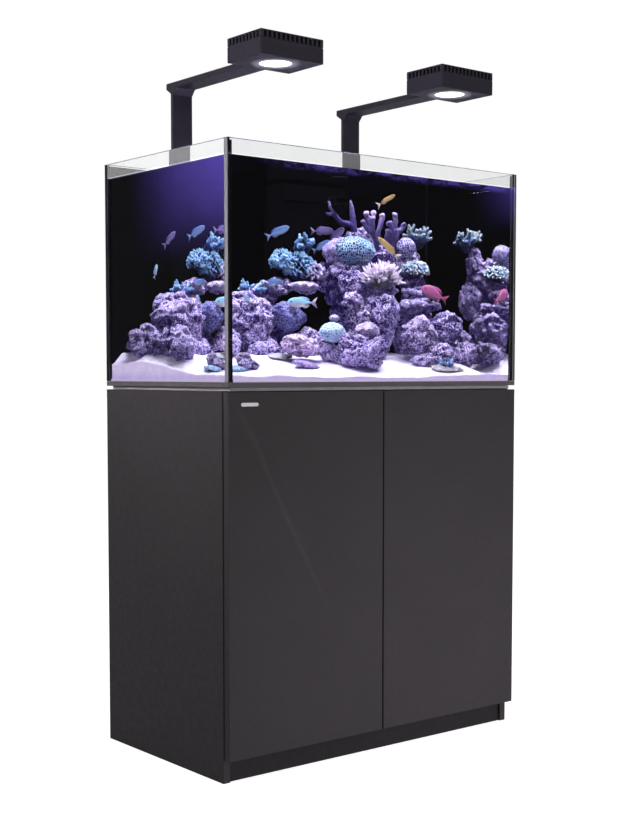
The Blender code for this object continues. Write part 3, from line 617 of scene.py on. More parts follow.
def make_heat_sinks():
    """A finned heat sink under each lamp's slotted cover, above its fan."""
    finish = plain_finish("heat_sink_black", linear(20, 18, 24), 0.6, 0.2, 900.0, gloss=0.1)
    wall, base, fin, pitch = 0.0034, 0.003, 0.0014, 0.0058
    above_fan, under_cover = 0.002, 0.0042
    for side in ("left", "right"):
        low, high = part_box(f"light_cover_{side}")
        start, end = low.y + wall, high.y - wall
        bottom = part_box(f"light_fan_{side}")[1].z + above_fan
        top = high.z - under_cover
        count = int((end - start - fin) / pitch)
        step = (end - start - fin) / count
        outline = [(end, bottom)]
        for k in range(count + 1):
            y = start + k * step
            foot = bottom + base
            outline += [(y, foot if k else bottom), (y, top), (y + fin, top), (y + fin, foot)]
        outline.pop()
        bm = bmesh.new()
        face = bm.faces.new([bm.verts.new((low.x + wall, y, z)) for y, z in outline])
        grown = bmesh.ops.extrude_face_region(bm, geom=[face])["geom"]
        along = Vector((high.x - low.x - 2 * wall, 0, 0))
        bmesh.ops.translate(bm, vec=along, verts=[v for v in grown if isinstance(v, bmesh.types.BMVert)])
        bmesh.ops.recalc_face_normals(bm, faces=bm.faces)
        mesh = mesh_of(bm, "heat_sink")
        piece(f"light_heat_sink_{side}", mesh, finish, f"light_{side}_mast", False)


# ---------------------------------------------------------------- water and sand


def ring_order(vertices):
    """The vertices of one loop, each next to its neighbour."""
    left = set(vertices)
    ordered = [vertices[0]]
    left.discard(vertices[0])
    while left:
        here = ordered[-1]
        step = next(e.other_vert(here) for e in here.link_edges if e.other_vert(here) in left)
        ordered.append(step)
        left.discard(step)
    return ordered


def filled(name, cells, low, high, foot, surface):
    """A closed body with straight sides. surface gives the height of its top from x, y and calm,
    which falls from 1 to 0 close to the sides."""
    calm_rate = 14
    bm = bmesh.new()
    bmesh.ops.create_grid(bm, x_segments=cells[0], y_segments=cells[1], size=0.5)
    for vertex in bm.verts:
        share_x, share_y = vertex.co.x + 0.5, vertex.co.y + 0.5
        x = low.x + (high.x - low.x) * share_x
        y = low.y + (high.y - low.y) * share_y
        calm = min(1.0, min(share_x, 1 - share_x, share_y, 1 - share_y) * calm_rate)
        vertex.co = (x, y, surface(x, y, calm))
    rim = [edge for edge in bm.edges if edge.is_boundary]
    walls = bmesh.ops.extrude_edge_only(bm, edges=rim)
    lowered = [item for item in walls["geom"] if isinstance(item, bmesh.types.BMVert)]
    for vertex in lowered:
        vertex.co.z = foot
    bm.faces.new(ring_order(lowered))
    bmesh.ops.recalc_face_normals(bm, faces=bm.faces)
    return mesh_of(bm, name)


def make_water():
    """One closed body of water, rippled on top. It reaches back to the black film, which is glued
    to the back pane, so that no air shows between them."""
    low, high = INNER_LOW + Vector((GAP, GAP, GAP)), INNER_HIGH - Vector((GAP, 0, 0))
    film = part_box("background_film")
    high.y = (film[0].y + film[1].y) / 2

    def surface(x, y, calm):
        wave = noise.noise(Vector((x * 16, y * 16, 0.3))) * 0.0012
        wave += noise.noise(Vector((x * 45, y * 45, 4))) * 0.0005
        return WATER_LEVEL + wave * calm

    mesh = filled("water", (120, 66), low, high, low.z, surface)
    for face in mesh.polygons:
        face.use_smooth = face.normal.z > 0.8
    made = Finish("sea_water", (0.985, 0.99, 1.0, 1.0), Roughness=0.0, IOR=1.333, Transmission_Weight=1.0)
    piece("water", mesh, made.material, smooth=False)


def step_up(value, low, high):
    t = min(1.0, max(0.0, (value - low) / (high - low)))
    return t * t * (3 - 2 * t)


def sand_height(x, y):
    """How high the sand lies, from the left side and the front face."""
    at_glass = 0.011 + 0.005 * step_up(x, 0.50, 0.80) + 0.003 * (1 - step_up(x, 0.10, 0.30))
    terrace = at_glass + (0.071 - at_glass) * step_up(y, 0.015, 0.36)
    at_side = 0.015 + 0.032 * step_up(y, 0.10, 0.36) - 0.008 * step_up(y, 0.40, 0.50)
    off_left = step_up(x, 0.013, 0.085)
    off_right = step_up(WIDTH - x, 0.013, 0.085)
    height = at_side + (terrace - at_side) * off_left * off_right
    height += 0.0035 * noise.noise(Vector((x * 14, y * 14, 0.5)))
    height += 0.0012 * noise.noise(Vector((x * 60, y * 60, 2.5)))
    return height


def make_sand():
    low, high = INNER_LOW + Vector((GAP, GAP, GAP)) * 2, INNER_HIGH - Vector((GAP, GAP, 0)) * 2

    def surface(x, y, calm):
        return PANE_TOP + sand_height(x - LEFT, y - FRONT)

    off_pane = 0.0004
    mesh = filled("sand", (260, 150), low, high, low.z + off_pane, surface)
    made = Finish("coral_sand", Roughness=0.95, Specular_IOR_Level=0.2)
    # The top's lavender tint is partly the sand's own colour and partly the violet tank light painted in.
    top = made.ramp(made.noise(22.0), (0.3, linear(210, 200, 234)), (0.6, linear(240, 235, 250)))
    # Painted light: the sides, seen through the glass, are painted in the lilac of the violet tank light,
    # darker than the top.
    side = made.ramp(made.noise(35.0), (0.3, linear(176, 158, 204)), (0.7, linear(214, 200, 230)))
    rise = made.between(made.axis("Z"), PANE_TOP, PANE_TOP + 0.030)
    made.set(
        Base_Color=made.mix(made.between(made.facing("Z"), 0.70, 0.95), side, top),
        Normal=made.bump(made.noise(1300.0, 3.0, 0.7), 0.5, 0.0006),
        # Painted glow on the sides, paler higher up.
        Emission_Color=made.mix(rise, linear(184, 166, 214), linear(212, 200, 232)),
        Emission_Strength=made.between(made.facing("Z"), 0.70, 0.95, 0.84, 0.0),
    )
    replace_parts(piece("sand", mesh, made.material), "sand_bed")


# ---------------------------------------------------------------- reef finishes


def live_rock_finish(name, dark, mid, light, shift=0.0):
    """Rock crusted with purple algae, with painted light: painted highlights on the crests, painted
    blue-violet shade in the hollows, near-black painted shade in the deep cracks, and a faint indigo painted
    glow that lifts the shade.
    """
    made = Finish(name, Roughness=0.85, Specular_IOR_Level=0.2)
    where = made.stretched(1.0, 1.0 + shift * 0.1, 1.0)
    coarse = made.noise(58.0 + shift, 8.0, 0.66, 0.4, where)
    polyps = made.cells(195.0, randomness=0.9, where=where)
    fine = made.noise(520.0, 3.0, 0.7, where=where)
    height = made.plus(made.times(coarse, 0.75), 0.29)
    height = made.plus(height, made.times(polyps, -0.75))
    height = made.plus(height, made.times(fine, 0.20))
    colour = made.ramp(height, (0.20, dark), (0.38, mid), (0.56, light), (0.74, lit(226, 214, 236, 0.8)))
    for scale, distortion, start, most, low, high in (
        (14.0, 0.8, 0.56, 0.6, lit(24, 20, 70), lit(98, 106, 184)),
        (19.0, 0.4, 0.58, 0.5, lit(40, 20, 54), lit(176, 138, 184)),
    ):
        patch = made.between(made.noise(scale, 3.0, 0.6, distortion, where), start, start + 0.12, 0.0, most)
        colour = made.mix(patch, colour, made.ramp(height, (0.20, low), (0.56, high)))
    # Painted highlights on crests, painted blue-violet shade in hollows and near-black painted shade in deep
    # cracks.
    hollow = made.attribute("hollow")
    for start, end, most, tone in (
        (-0.15, -0.80, 0.28, lit(196, 180, 224, 0.8)),
        (0.05, 0.60, 0.60, lit(56, 42, 112)),
        (0.55, 1.00, 0.85, lit(12, 8, 30)),
    ):
        colour = made.mix(made.between(hollow, start, end, 0.0, most), colour, tone)
    rough = made.bump(made.maths("SUBTRACT", fine, polyps), 0.9, 0.0022, made.bump(coarse, 0.8, 0.005))
    # The indigo emission is a painted glow that tints and lifts the shade.
    made.set(Base_Color=colour, Normal=rough, Emission_Color=linear(34, 20, 80), Emission_Strength=0.35)
    return made.material


def web_finish(name, hole, wall, edge, scale, wall_size, relief=0.0012, uneven=0.8):
    """A ball coral: pale walls round dark cups."""
    made = Finish(name, Roughness=0.6, Specular_IOR_Level=0.35)
    inner = made.cells(scale, "DISTANCE_TO_EDGE", uneven)
    share = made.between(inner, wall_size * 0.7, wall_size * 1.3, 1.0, 0.0)
    tone = made.ramp(made.noise(30.0), (0.35, wall), (0.65, edge))
    made.set(Base_Color=made.mix(share, hole, tone), Normal=made.bump(share, 0.9, relief))
    return made.material


def meander_finish(name, groove, ridge, scale, turns=34.0):
    """A brain coral: winding pale ridges with grooves between them."""
    made = Finish(name, Roughness=0.6, Specular_IOR_Level=0.3)
    wave = made.maths("SINE", made.times(made.noise(scale, 2.0, 0.5, 1.2), turns))
    share = made.between(wave, -0.3, 0.5)
    tint = made.ramp(made.noise(40.0, 3.0), (0.3, ridge), (0.7, toned(ridge, 1.35)))
    made.set(Base_Color=made.mix(share, groove, tint), Normal=made.bump(share, 0.8, 0.0015))
    return made.material


def tipped_finish(name, base, middle, tip, relief=0.0009, cup_scale=300.0):
    """A branching coral: the colour pales towards the growing tips, with small cups all over and painted
    shade in its hollows.
    """
    made = Finish(name, Roughness=0.62, Specular_IOR_Level=0.3)
    grown = made.attribute("tip")
    wobble = made.times(made.maths("SUBTRACT", made.noise(70.0), 0.5), 0.5)
    colour = made.ramp(made.plus(grown, wobble), (0.08, base), (0.5, middle), (0.86, tip))
    cups = made.between(made.cells(cup_scale, randomness=0.9), 0.18, 0.42)
    shaded = made.mix(cups, toned(middle, 0.55), colour)
    # Painted shade: the hollows between knobs are darkened.
    hollow = made.between(made.attribute("hollow"), 0.1, 0.9)
    shaded = made.mix(hollow, shaded, toned(base, 0.5))
    colour = made.mix(hollow, colour, toned(base, 0.5))
    made.set(
        Base_Color=made.mix(made.between(grown, 0.5, 0.9, 0.75, 0.25), colour, shaded),
        Normal=made.bump(cups, 0.7, relief),
    )
    return made.material


# ---------------------------------------------------------------- reef shapes


def lump(bm, centre, radii, seed, rough=0.30, subdivisions=4):
    """A boulder: a squashed ball, pushed in and out by slow noise."""
    broad, narrow = 1.9, 4.3
    made = bmesh.ops.create_icosphere(bm, subdivisions=subdivisions, radius=1.0)
    away = Vector((seed * 3.17, seed * 1.31, seed * 2.23))
    for vertex in made["verts"]:
        unit = vertex.co.normalized()
        push = 1 + rough * noise.noise(unit * broad + away) + rough * 0.6 * noise.noise(unit * narrow - away)
        vertex.co = centre + scaled(unit, radii) * push


def rock_pile(name, voxel, finish, *lumps):
    """Boulders grown into one craggy mass. Each one is its place in the tank and its radii."""
    craggy = 0.42
    bm = bmesh.new()
    for seed, (place, radii) in enumerate(lumps):
        lump(bm, inside(place), metres(radii), seed + len(name), craggy)
    mesh = fused(mesh_of(bm, name), voxel)
    boulders = ("noise", 14, 0.010), ("ridge", 34, 0.0036), ("pits", 70, 0.0016)
    roughen(mesh, *boulders, ("ridge", 96, 0.0018), ("pits", 190, 0.0013))
    keep_in_tank(mesh)
    put_hollows(mesh, 24, 0.0045)
    return piece(name, mesh, finish)


def tube(bm, path, radii, sides=9):
    """A closed tube along a path, with rounded ends."""
    count = len(path)
    spots = []
    for i, (point, radius) in enumerate(zip(path, radii)):
        ahead = path[min(i + 1, count - 1)] - path[max(i - 1, 0)]
        ahead.normalize()
        if i == 0:
            spots.append((point - ahead * radius * 0.7, radius * 0.55, ahead))
        spots.append((point, radius, ahead))
        if i == count - 1:
            spots.append((point + ahead * radius * 0.6, radius * 0.8, ahead))
            spots.append((point + ahead * radius * 0.95, radius * 0.35, ahead))
    off_axis = Vector((0.31, 0.94, 0.13))
    rings = []
    for point, radius, ahead in spots:
        across = ahead.cross(off_axis).normalized()
        up = across.cross(ahead).normalized()
        turns = [FULL_TURN * k / sides for k in range(sides)]
        ring = [point + (across * math.cos(turn) + up * math.sin(turn)) * radius for turn in turns]
        rings.append([bm.verts.new(spot) for spot in ring])
    skin(bm, rings)


def set_tips(mesh, centre, reach, start):
    """Stores how far out each vertex is, for the finish: 0 near the middle, 1 at the tips."""
    offsets = (points_of(mesh) - np.array(centre)) / np.array(reach)
    far = np.sqrt((offsets**2).sum(1))
    put_values(mesh, "tip", np.clip((far - start) / (1 - start), 0, 1))


def ball_coral(name, place, radii, finish, turn=(0, 0, 0), rough=0.10, ripple=0.0):
    """A rounded coral head, tucked in below. A ripple folds its edge into lobes."""
    broad, narrow, tucked, lobes = 2.1, 5, 0.28, 9
    bm = bmesh.new()
    bmesh.ops.create_icosphere(bm, subdivisions=6, radius=1.0)
    x, y, _ = metres(place)
    away = Vector((len(name) * 1.7, x * 40, y * 30))
    spin = Matrix.Rotation(turn[2], 3, "Z") @ Matrix.Rotation(turn[1], 3, "Y")
    spin = spin @ Matrix.Rotation(turn[0], 3, "X")
    radii = metres(radii)
    centre = inside(place)
    for vertex in bm.verts:
        unit = vertex.co.normalized()
        push = 1 + rough * noise.noise(unit * broad + away) + rough * 0.5 * noise.noise(unit * narrow + away)
        tuck = 1 - tucked * max(0.0, -unit.z - 0.15)
        around = math.atan2(unit.y, unit.x)
        wave = ripple * math.sin(around * lobes + 2 * noise.noise(away + unit)) * (1 - abs(unit.z))
        spread = Vector((unit.x * radii[0] * tuck, unit.y * radii[1] * tuck, unit.z * radii[2])) * push
        spread.z += wave * radii[2] * 2
        spread.x *= 1 + wave
        spread.y *= 1 + wave
        vertex.co = centre + spin @ spread
    mesh = mesh_of(bm, name)
    keep_in_tank(mesh)
    return piece(name, mesh, finish)


def knobby_coral(name, place, radii, count, knob, finish, seed, voxel):
    """A head of blunt knobs, packed like a cauliflower round a solid core."""
    core, depth, jitter = 0.74, 1.45, 0.25
    rng = random.Random(seed)
    bm = bmesh.new()
    centre = inside(place)
    radii = metres(radii)
    lump(bm, centre, [r * core for r in radii], seed, 0.15)
    for k in range(count):
        unit = one_of_many(k, count, depth, jitter, rng)
        spot = centre + scaled(unit, radii) * rng.uniform(0.80, 1.0)
        made = bmesh.ops.create_icosphere(bm, subdivisions=2, radius=knob * rng.uniform(0.75, 1.25))
        squash = rng.uniform(0.8, 1.2)
        for vertex in made["verts"]:
            vertex.co = spot + vertex.co + unit * vertex.co.dot(unit) * squash
    mesh = fused(mesh_of(bm, name), voxel)
    roughen(mesh, ("noise", 40, 0.0040), ("noise", 200, 0.0012))
    keep_in_tank(mesh)
    put_hollows(mesh, 14, 0.0022)
    set_tips(mesh, centre, [r * 1.16 for r in radii], 0.62)
    return piece(name, mesh, finish)


def grow(bm, start, heading, length, radius, forks, rng, spread, taper):
    """A branch that bends as it grows, and forks."""
    steps, bend = 5, 0.35
    path, radii = [start.copy()], [radius]
    way = heading.normalized()
    for step in range(steps):
        way = (way + stray(rng, 1, -0.4, 1.0) * bend / steps * 1.6).normalized()
        path.append(path[-1] + way * length / steps)
        radii.append(radius * (1 + (taper - 1) * (step + 1) / steps))
    tube(bm, path, radii)
    if forks <= 0:
        return
    for turn in (-1, 1):
        across = way.cross(Vector((rng.uniform(-1, 1), rng.uniform(-1, 1), 0.3))).normalized()
        fresh = (way + across * spread * turn * rng.uniform(0.7, 1.2)).normalized()
        part = path[rng.choice((2, 3, 4))] if turn > 0 else path[-2]
        shorter = length * rng.uniform(0.6, 0.85)
        grow(bm, part, fresh, shorter, radius * taper, forks - 1, rng, spread, taper)


def branch_coral(name, place, stems, length, radius, forks, finish, seed, lean, spread=0.9, taper=0.66,
                 voxel=0.0):
    """A bush of forking branches from one foot. Stems lean outwards from it."""
    rng = random.Random(seed)
    bm = bmesh.new()
    foot = inside(place)
    for k in range(stems):
        around = FULL_TURN * (k + rng.uniform(-0.3, 0.3)) / stems
        heading = around_z(around, 1.0, lean * (0.35 if k == 0 else 1.0))
        start = foot + around_z(around) * radius * 1.2
        grow(bm, start, heading, length * rng.uniform(0.75, 1.1), radius, forks, rng, spread, taper)
    lump(bm, foot, (radius * 2.6, radius * 2.2, radius * 1.8), seed, 0.2, 3)
    mesh = mesh_of(bm, name)
    if voxel:
        mesh = fused(mesh, voxel, 1)
    roughen(mesh, ("noise", 190, radius * 0.14), ("pits", 330, radius * 0.10))
    keep_in_tank(mesh)
    top = points_of(mesh)[:, 2].max() - foot.z
    set_tips(mesh, foot, (top * 1.05, top * 1.05, top * 1.02), 0.25)
    return piece(name, mesh, finish)


def smooth_path(points, steps):
    """Points along a smooth curve through the given ones."""
    out = []
    last = len(points) - 1
    for i in range(last):
        before, here = points[max(i - 1, 0)], points[i]
        there, beyond = points[i + 1], points[min(i + 2, last)]
        for step in range(steps):
            t = step / steps
            out.append(0.5 * (
                2 * here + (there - before) * t
                + (2 * before - 5 * here + 4 * there - beyond) * t * t
                + (3 * here - before - 3 * there + beyond) * t * t * t
            ))
    out.append(points[last])
    return out


def spread_out(values, steps):
    """The values with even steps between them."""
    out = []
    for first, second in zip(values, values[1:]):
        out += [first + (second - first) * step / steps for step in range(steps)]
    return out + [values[-1]]


def stems_coral(name, finish, voxel, rough, fade, knobs, stems):
    """Smooth stems grown together. Each stem is its places in the tank, then its radii."""
    rng = random.Random(len(name))
    bm = bmesh.new()
    steps = 5
    for places, radii in stems:
        points, radii = [inside(place) for place in places], metres(radii)
        tube(bm, smooth_path(points, steps), spread_out(radii, steps), 12)
        for k in range(knobs):
            around = FULL_TURN * (k + rng.uniform(0, 0.6)) / knobs
            beside = around_z(around, rng.uniform(-0.4, 0.9)) * radii[-1] * 0.72
            size = radii[-1] * rng.uniform(0.52, 0.78)
            lump(bm, points[-1] + beside, (size, size, size), k, 0.1, 2)
    mesh = fused(mesh_of(bm, name), voxel, 3)
    roughen(mesh, ("noise", 130, rough), ("pits", 340, rough * 0.5))
    keep_in_tank(mesh)
    heights = points_of(mesh)[:, 2]
    rise = (heights - heights.min()) / (heights.max() - heights.min())
    put_values(mesh, "tip", np.clip(rise, 0, 1) ** fade)
    piece(name, mesh, finish).visible_glossy = False


def blade_shares(bm, start, way, side, reach, wide, rng):
    """Adds one bent blade, and gives how far along it each new vertex is."""
    steps, thick, curl = 5, 0.0011, 0.35
    shares, rings = [], []
    bend = stray(rng, 0.3, -0.1, 0.3)
    place = start.copy()
    for step in range(steps + 1):
        share = step / steps
        half = wide * (0.55 + 0.9 * share - 1.15 * share**3)
        out = way.cross(side).normalized()
        near = half * 0.4
        corners = ((-half, 0), (-near, thick), (near, thick), (half, 0), (near, -thick), (-near, -thick))
        rings.append([bm.verts.new(place + side * a + out * b) for a, b in corners])
        shares += [share] * len(corners)
        way = (way + bend * curl).normalized()
        side = (side - way * side.dot(way)).normalized()
        place = place + way * reach / steps
    skin(bm, rings)
    return shares


def tuft_coral(name, clumps, count, length, finish, seed):
    """Frilled clumps of flat, bent blades. Each clump is its place in the tank and its half sizes."""
    core, depth, jitter = 0.55, 1.2, 0.5
    rng = random.Random(seed)
    bm = bmesh.new()
    shares = []
    for clump, (place, radii) in enumerate(clumps):
        centre, radii = inside(place), metres(radii)
        lump(bm, centre - Vector((0, 0, radii[2] * 0.3)), [r * core for r in radii], seed + clump, 0.3, 3)
        shares += [0.0] * (len(bm.verts) - len(shares))
        for k in range(count):
            unit = one_of_many(k, count, depth, jitter, rng)
            start = centre + scaled(unit, radii) * 0.45
            way = (unit + stray(rng, 0.7, 0.0, 0.7)).normalized()
            reach = length * rng.uniform(0.6, 1.2)
            wide = length * rng.uniform(0.10, 0.17)
            side = way.cross(stray(rng, 1, -1, 1)).normalized()
            shares += blade_shares(bm, start, way, side, reach, wide, rng)
    mesh = mesh_of(bm, name)
    keep_in_tank(mesh)
    put_values(mesh, "tip", shares)
    return piece(name, mesh, finish)


def fish(name, place, length, facing, tilt, finish, tall):
    """A small reef fish: a flattened body, forked tail, back and belly fins, and two eyes."""
    rings, sides, body_end, fin_thick = 20, 14, 0.86, 0.006
    eye_back, eye_rise, eye_size = 0.125, 0.14, 0.022
    yaw = math.radians(-24)
    half = tall / 2
    bm = bmesh.new()

    def outline(s):
        body = math.sin(math.pi * min(1.0, s / 0.84) ** 0.72) ** 0.85 if s < 0.84 else 0.0
        return half * max(body, 0.12 if s > 0.05 else 0.02)

    def body_ring(s):
        high = outline(s)
        wide = high * (0.46 if s < 0.7 else 0.36)
        turns = [FULL_TURN * k / sides for k in range(sides)]
        return [bm.verts.new((0.5 - s, math.sin(turn) * wide, math.cos(turn) * high)) for turn in turns]

    skin(bm, [body_ring(body_end * i / (rings - 1)) for i in range(rings)])
    tail = [(-0.33, 0.03), (-0.42, 0.10), (-0.52, 0.17), (-0.47, 0.05), (-0.445, 0.0)]
    tail += [(x, -z) for x, z in reversed(tail[:-1])]
    back = [(0.22, 0.78), (0.12, 1.10), (-0.02, 1.20), (-0.16, 1.04)]
    back += [(-0.26, 0.66), (-0.22, 0.30), (0.10, 0.6)]
    belly = ((0.00, -0.80), (-0.08, -1.14), (-0.18, -1.02), (-0.26, -0.60), (-0.20, -0.3))
    for edge, rise in ((tail, 1), (back, half), (belly, half)):
        fin = [(x, z * rise) for x, z in edge]
        front = [bm.verts.new((x, fin_thick / 2, z)) for x, z in fin]
        rear = [bm.verts.new((x, -fin_thick / 2, z)) for x, z in fin]
        skin(bm, (rear, front))
    for side in (-1, 1):
        made = bmesh.ops.create_uvsphere(bm, u_segments=10, v_segments=6, radius=eye_size)
        middle = Vector((0.5 - eye_back, side * outline(eye_back) * 0.40, half * eye_rise))
        for vertex in made["verts"]:
            vertex.co = middle + Vector((vertex.co.x, vertex.co.y * 0.4, vertex.co.z))
    bmesh.ops.recalc_face_normals(bm, faces=bm.faces)
    mesh = mesh_of(bm, name)
    shape = points_of(mesh)
    eye = np.hypot(shape[:, 0] - (0.5 - eye_back), shape[:, 2] - half * eye_rise) < eye_size + 0.0005
    put_values(mesh, "along", 0.5 - shape[:, 0])
    put_values(mesh, "height", np.clip(shape[:, 2] / tall + 0.5, 0, 1))
    put_values(mesh, "eye", eye.astype(float))
    turn = Matrix.Rotation(yaw, 3, "Z") @ Matrix.Rotation(math.radians(-tilt * facing), 3, "Y")
    if facing < 0:
        turn = turn @ Matrix.Rotation(math.pi, 3, "Z")
    put_points(mesh, shape * length @ np.array(turn).T + np.array(inside(place)))
    return piece(name, mesh, finish)


def fish_finish(name, back, side, belly, tail, spots=0.0, spot_colour=(0.02, 0.02, 0.03, 1.0)):
    """Scaled skin: darker back, paler belly, a tail and fins of their own colour."""
    made = Finish(name, Roughness=0.32, Specular_IOR_Level=0.5)
    scales = made.cells(620.0, randomness=0.4)
    body = made.ramp(made.attribute("height"), (0.25, belly), (0.5, side), (0.8, back))
    colour = made.mix(made.between(made.attribute("along"), 0.80, 0.90), body, tail)
    if spots:
        colour = made.mix(made.between(made.cells(190.0), 0.16, 0.24, spots, 0.0), colour, spot_colour)
    shaded = made.mix(made.between(scales, 0.1, 0.5, 0.25, 0.0), colour, toned(side, 0.5))
    made.set(
        Base_Color=made.mix(made.attribute("eye"), shaded, (0.01, 0.01, 0.015, 1.0)),
        Normal=made.bump(scales, 0.3, 0.0003),
    )
    return made.material


# ---------------------------------------------------------------- the reef itself

# Two tall horns on one low stem, with a short spur near the tip of the outer horn.
ANTLER = (
    (((566, 372, 350), (561, 374, 400), (558, 375, 427), (553, 375, 454)), (10.0, 8.6, 6.6, 3.4)),
    (((560, 374, 392), (546, 375, 396), (524, 376, 399), (504, 376, 414), (490, 376, 430), (485, 376, 446)),
     (8.4, 7.8, 7.0, 6.2, 5.2, 3.4)),
    (((497, 376, 422), (485, 375, 415), (475, 374, 419)), (4.6, 4.0, 2.6)),
)

# A clump of blunt upright fingers, some of them forked near the top.
FINGERS = (
    (((630, 352, 320), (624, 352, 356), (604, 350, 386), (590, 350, 424)), (7.0, 7.0, 6.3, 7.4)),
    (((606, 350, 390), (612, 353, 408), (617, 354, 428)), (6.4, 6.0, 7.0)),
    (((612, 348, 372), (608, 344, 392), (605, 342, 409)), (6.8, 6.4, 7.4)),
    (((604, 350, 378), (588, 346, 388), (577, 344, 402)), (6.0, 5.6, 6.4)),
    (((634, 360, 320), (634, 362, 368), (644, 364, 396), (654, 366, 422)), (7.0, 7.0, 7.0, 7.4)),
    (((652, 344, 320), (650, 342, 352), (659, 342, 384)), (7.0, 6.3, 6.6)),
    (((656, 346, 350), (672, 343, 388), (663, 342, 404)), (6.2, 6.0, 7.0)),
    (((676, 356, 320), (686, 358, 370), (692, 358, 398), (692, 358, 426)), (7.0, 7.0, 6.3, 7.4)),
    (((690, 360, 374), (706, 357, 386), (720, 356, 402)), (6.6, 6.2, 7.2)),
    (((672, 346, 320), (684, 342, 358), (690, 340, 386)), (7.0, 6.8, 7.4)),
)


def on_sand(x, y, lift):
    """A place this far above the sand, in millimetres."""
    return (x, y, sand_height(x / 1000, y / 1000) * 1000 + lift)


def make_rocks():
    """Places and half sizes are in millimetres."""
    purple = live_rock_finish("live_rock", lit(24, 16, 58), lit(102, 90, 146, 0.7), lit(172, 158, 196, 0.8))
    lilac = live_rock_finish(
        "live_rock_pale", lit(38, 27, 68), lit(128, 112, 160, 0.7), lit(200, 186, 214, 0.8), 6.0)
    dawn = live_rock_finish(
        "live_rock_left", lit(64, 52, 104), lit(128, 114, 164, 0.7), lit(180, 168, 204, 0.8), 6.0)
    # dim is a darker copy of the live rock: painted shade for the rocks and rubble at the back.
    dim = live_rock_finish("live_rock_dim", lit(10, 6, 36), lit(60, 52, 130), lit(110, 102, 184), 3.0)
    left = rock_pile(
        "reef_rocks_left", 0.0025, dawn,
        ((105, 395, 90), (60, 75, 48)), ((102, 300, 82), (58, 68, 44)), ((74, 245, 72), (36, 36, 28)),
        ((165, 360, 150), (62, 62, 36)), ((212, 400, 186), (52, 48, 28)), ((238, 345, 152), (56, 48, 38)),
        ((222, 350, 108), (46, 45, 36)), ((300, 435, 165), (42, 40, 62)), ((300, 400, 216), (38, 36, 22)),
        ((338, 385, 232), (34, 28, 18)),
    )
    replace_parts(left, "reef_rock_left")
    main = rock_pile(
        "reef_rocks_main", 0.0028, purple,
        ((398, 352, 230), (32, 22, 14)), ((530, 352, 325), (36, 26, 32)), ((480, 350, 318), (24, 22, 24)),
        ((505, 352, 345), (20, 20, 14)), ((556, 365, 362), (30, 18, 12)), ((600, 396, 350), (34, 36, 34)),
        ((600, 400, 250), (60, 50, 60)), ((530, 335, 278), (56, 42, 26)), ((512, 292, 246), (32, 28, 27)),
        ((590, 295, 238), (64, 50, 28)), ((652, 365, 310), (56, 42, 34)), ((605, 345, 150), (56, 48, 85)),
        ((720, 350, 306), (36, 32, 24)), ((745, 372, 285), (42, 36, 34)), ((770, 405, 300), (24, 30, 56)),
        ((782, 400, 220), (34, 36, 48)), ((745, 345, 130), (60, 50, 70)), ((845, 370, 88), (36, 50, 46)),
    )
    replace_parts(main, "reef_rock_main")
    # shade is a darker copy of the live rock: painted shade for the shelf.
    shade = live_rock_finish("live_rock_shade", lit(8, 6, 26), lit(66, 56, 116), lit(136, 124, 178), 2.0)
    rock_pile(
        "reef_rock_shelf", 0.0024, shade,
        ((735, 335, 254), (38, 34, 18)), ((728, 308, 224), (32, 30, 20)), ((742, 292, 192), (60, 42, 16)),
    )
    rock_pile(
        "reef_rubble_back", 0.0024, dim,
        ((336, 372, 92), (40, 34, 36)), ((300, 360, 78), (32, 30, 26)),
    )
    rock_pile(
        "reef_rubble_pale", 0.0018, dawn,
        (on_sand(268, 310, 12), (26, 22, 18)), (on_sand(226, 296, 10), (22, 20, 16)),
        (on_sand(298, 304, 8), (16, 16, 12)),
    )
    rock_pile(
        "reef_rock_back", 0.0026, dim,
        ((470, 362, 262), (36, 20, 34)), ((502, 360, 222), (34, 20, 38)), ((520, 362, 160), (30, 20, 46)),
    )
    rock_pile(
        "reef_boulder_column", 0.0024, purple,
        ((580, 246, 172), (47, 42, 42)), ((570, 250, 125), (44, 40, 38)), ((560, 262, 85), (40, 36, 36)),
    )
    rock_pile(
        "reef_boulder_pale", 0.0022, lilac,
        ((490, 245, 196), (26, 24, 24)), ((508, 250, 162), (30, 26, 26)), ((520, 258, 110), (34, 34, 44)),
    )
    rock_pile("reef_boulder_right", 0.0022, lilac, ((690, 222, 112), (47, 44, 44)))
    rock_pile(
        "reef_boulder_far", 0.0024, purple,
        ((800, 245, 136), (46, 44, 40)), ((790, 270, 85), (44, 40, 40)),
    )
    rock_pile(
        "reef_rock_front", 0.0020, purple,
        ((478, 150, 70), (52, 46, 40)), ((452, 165, 60), (36, 34, 28)), ((428, 178, 88), (17, 18, 26)),
    )
    rock_pile(
        "reef_rock_right", 0.0022, lilac,
        ((842, 200, 68), (41, 40, 31)), ((741, 172, 68), (32, 28, 24)), ((700, 180, 55), (44, 26, 14)),
    )
    rock_pile(
        "reef_rock_middle", 0.0022, lilac,
        ((378, 300, 100), (28, 28, 26)), ((410, 310, 94), (26, 28, 24)), ((345, 300, 90), (24, 24, 20)),
        ((405, 215, 70), (26, 24, 20)),
    )
    rock_pile(
        "reef_rubble_left", 0.0016, lilac,
        (on_sand(116, 150, 14), (19, 16, 16)), (on_sand(104, 122, 8), (15, 13, 12)),
        (on_sand(128, 128, 8), (12, 13, 10)),
    )


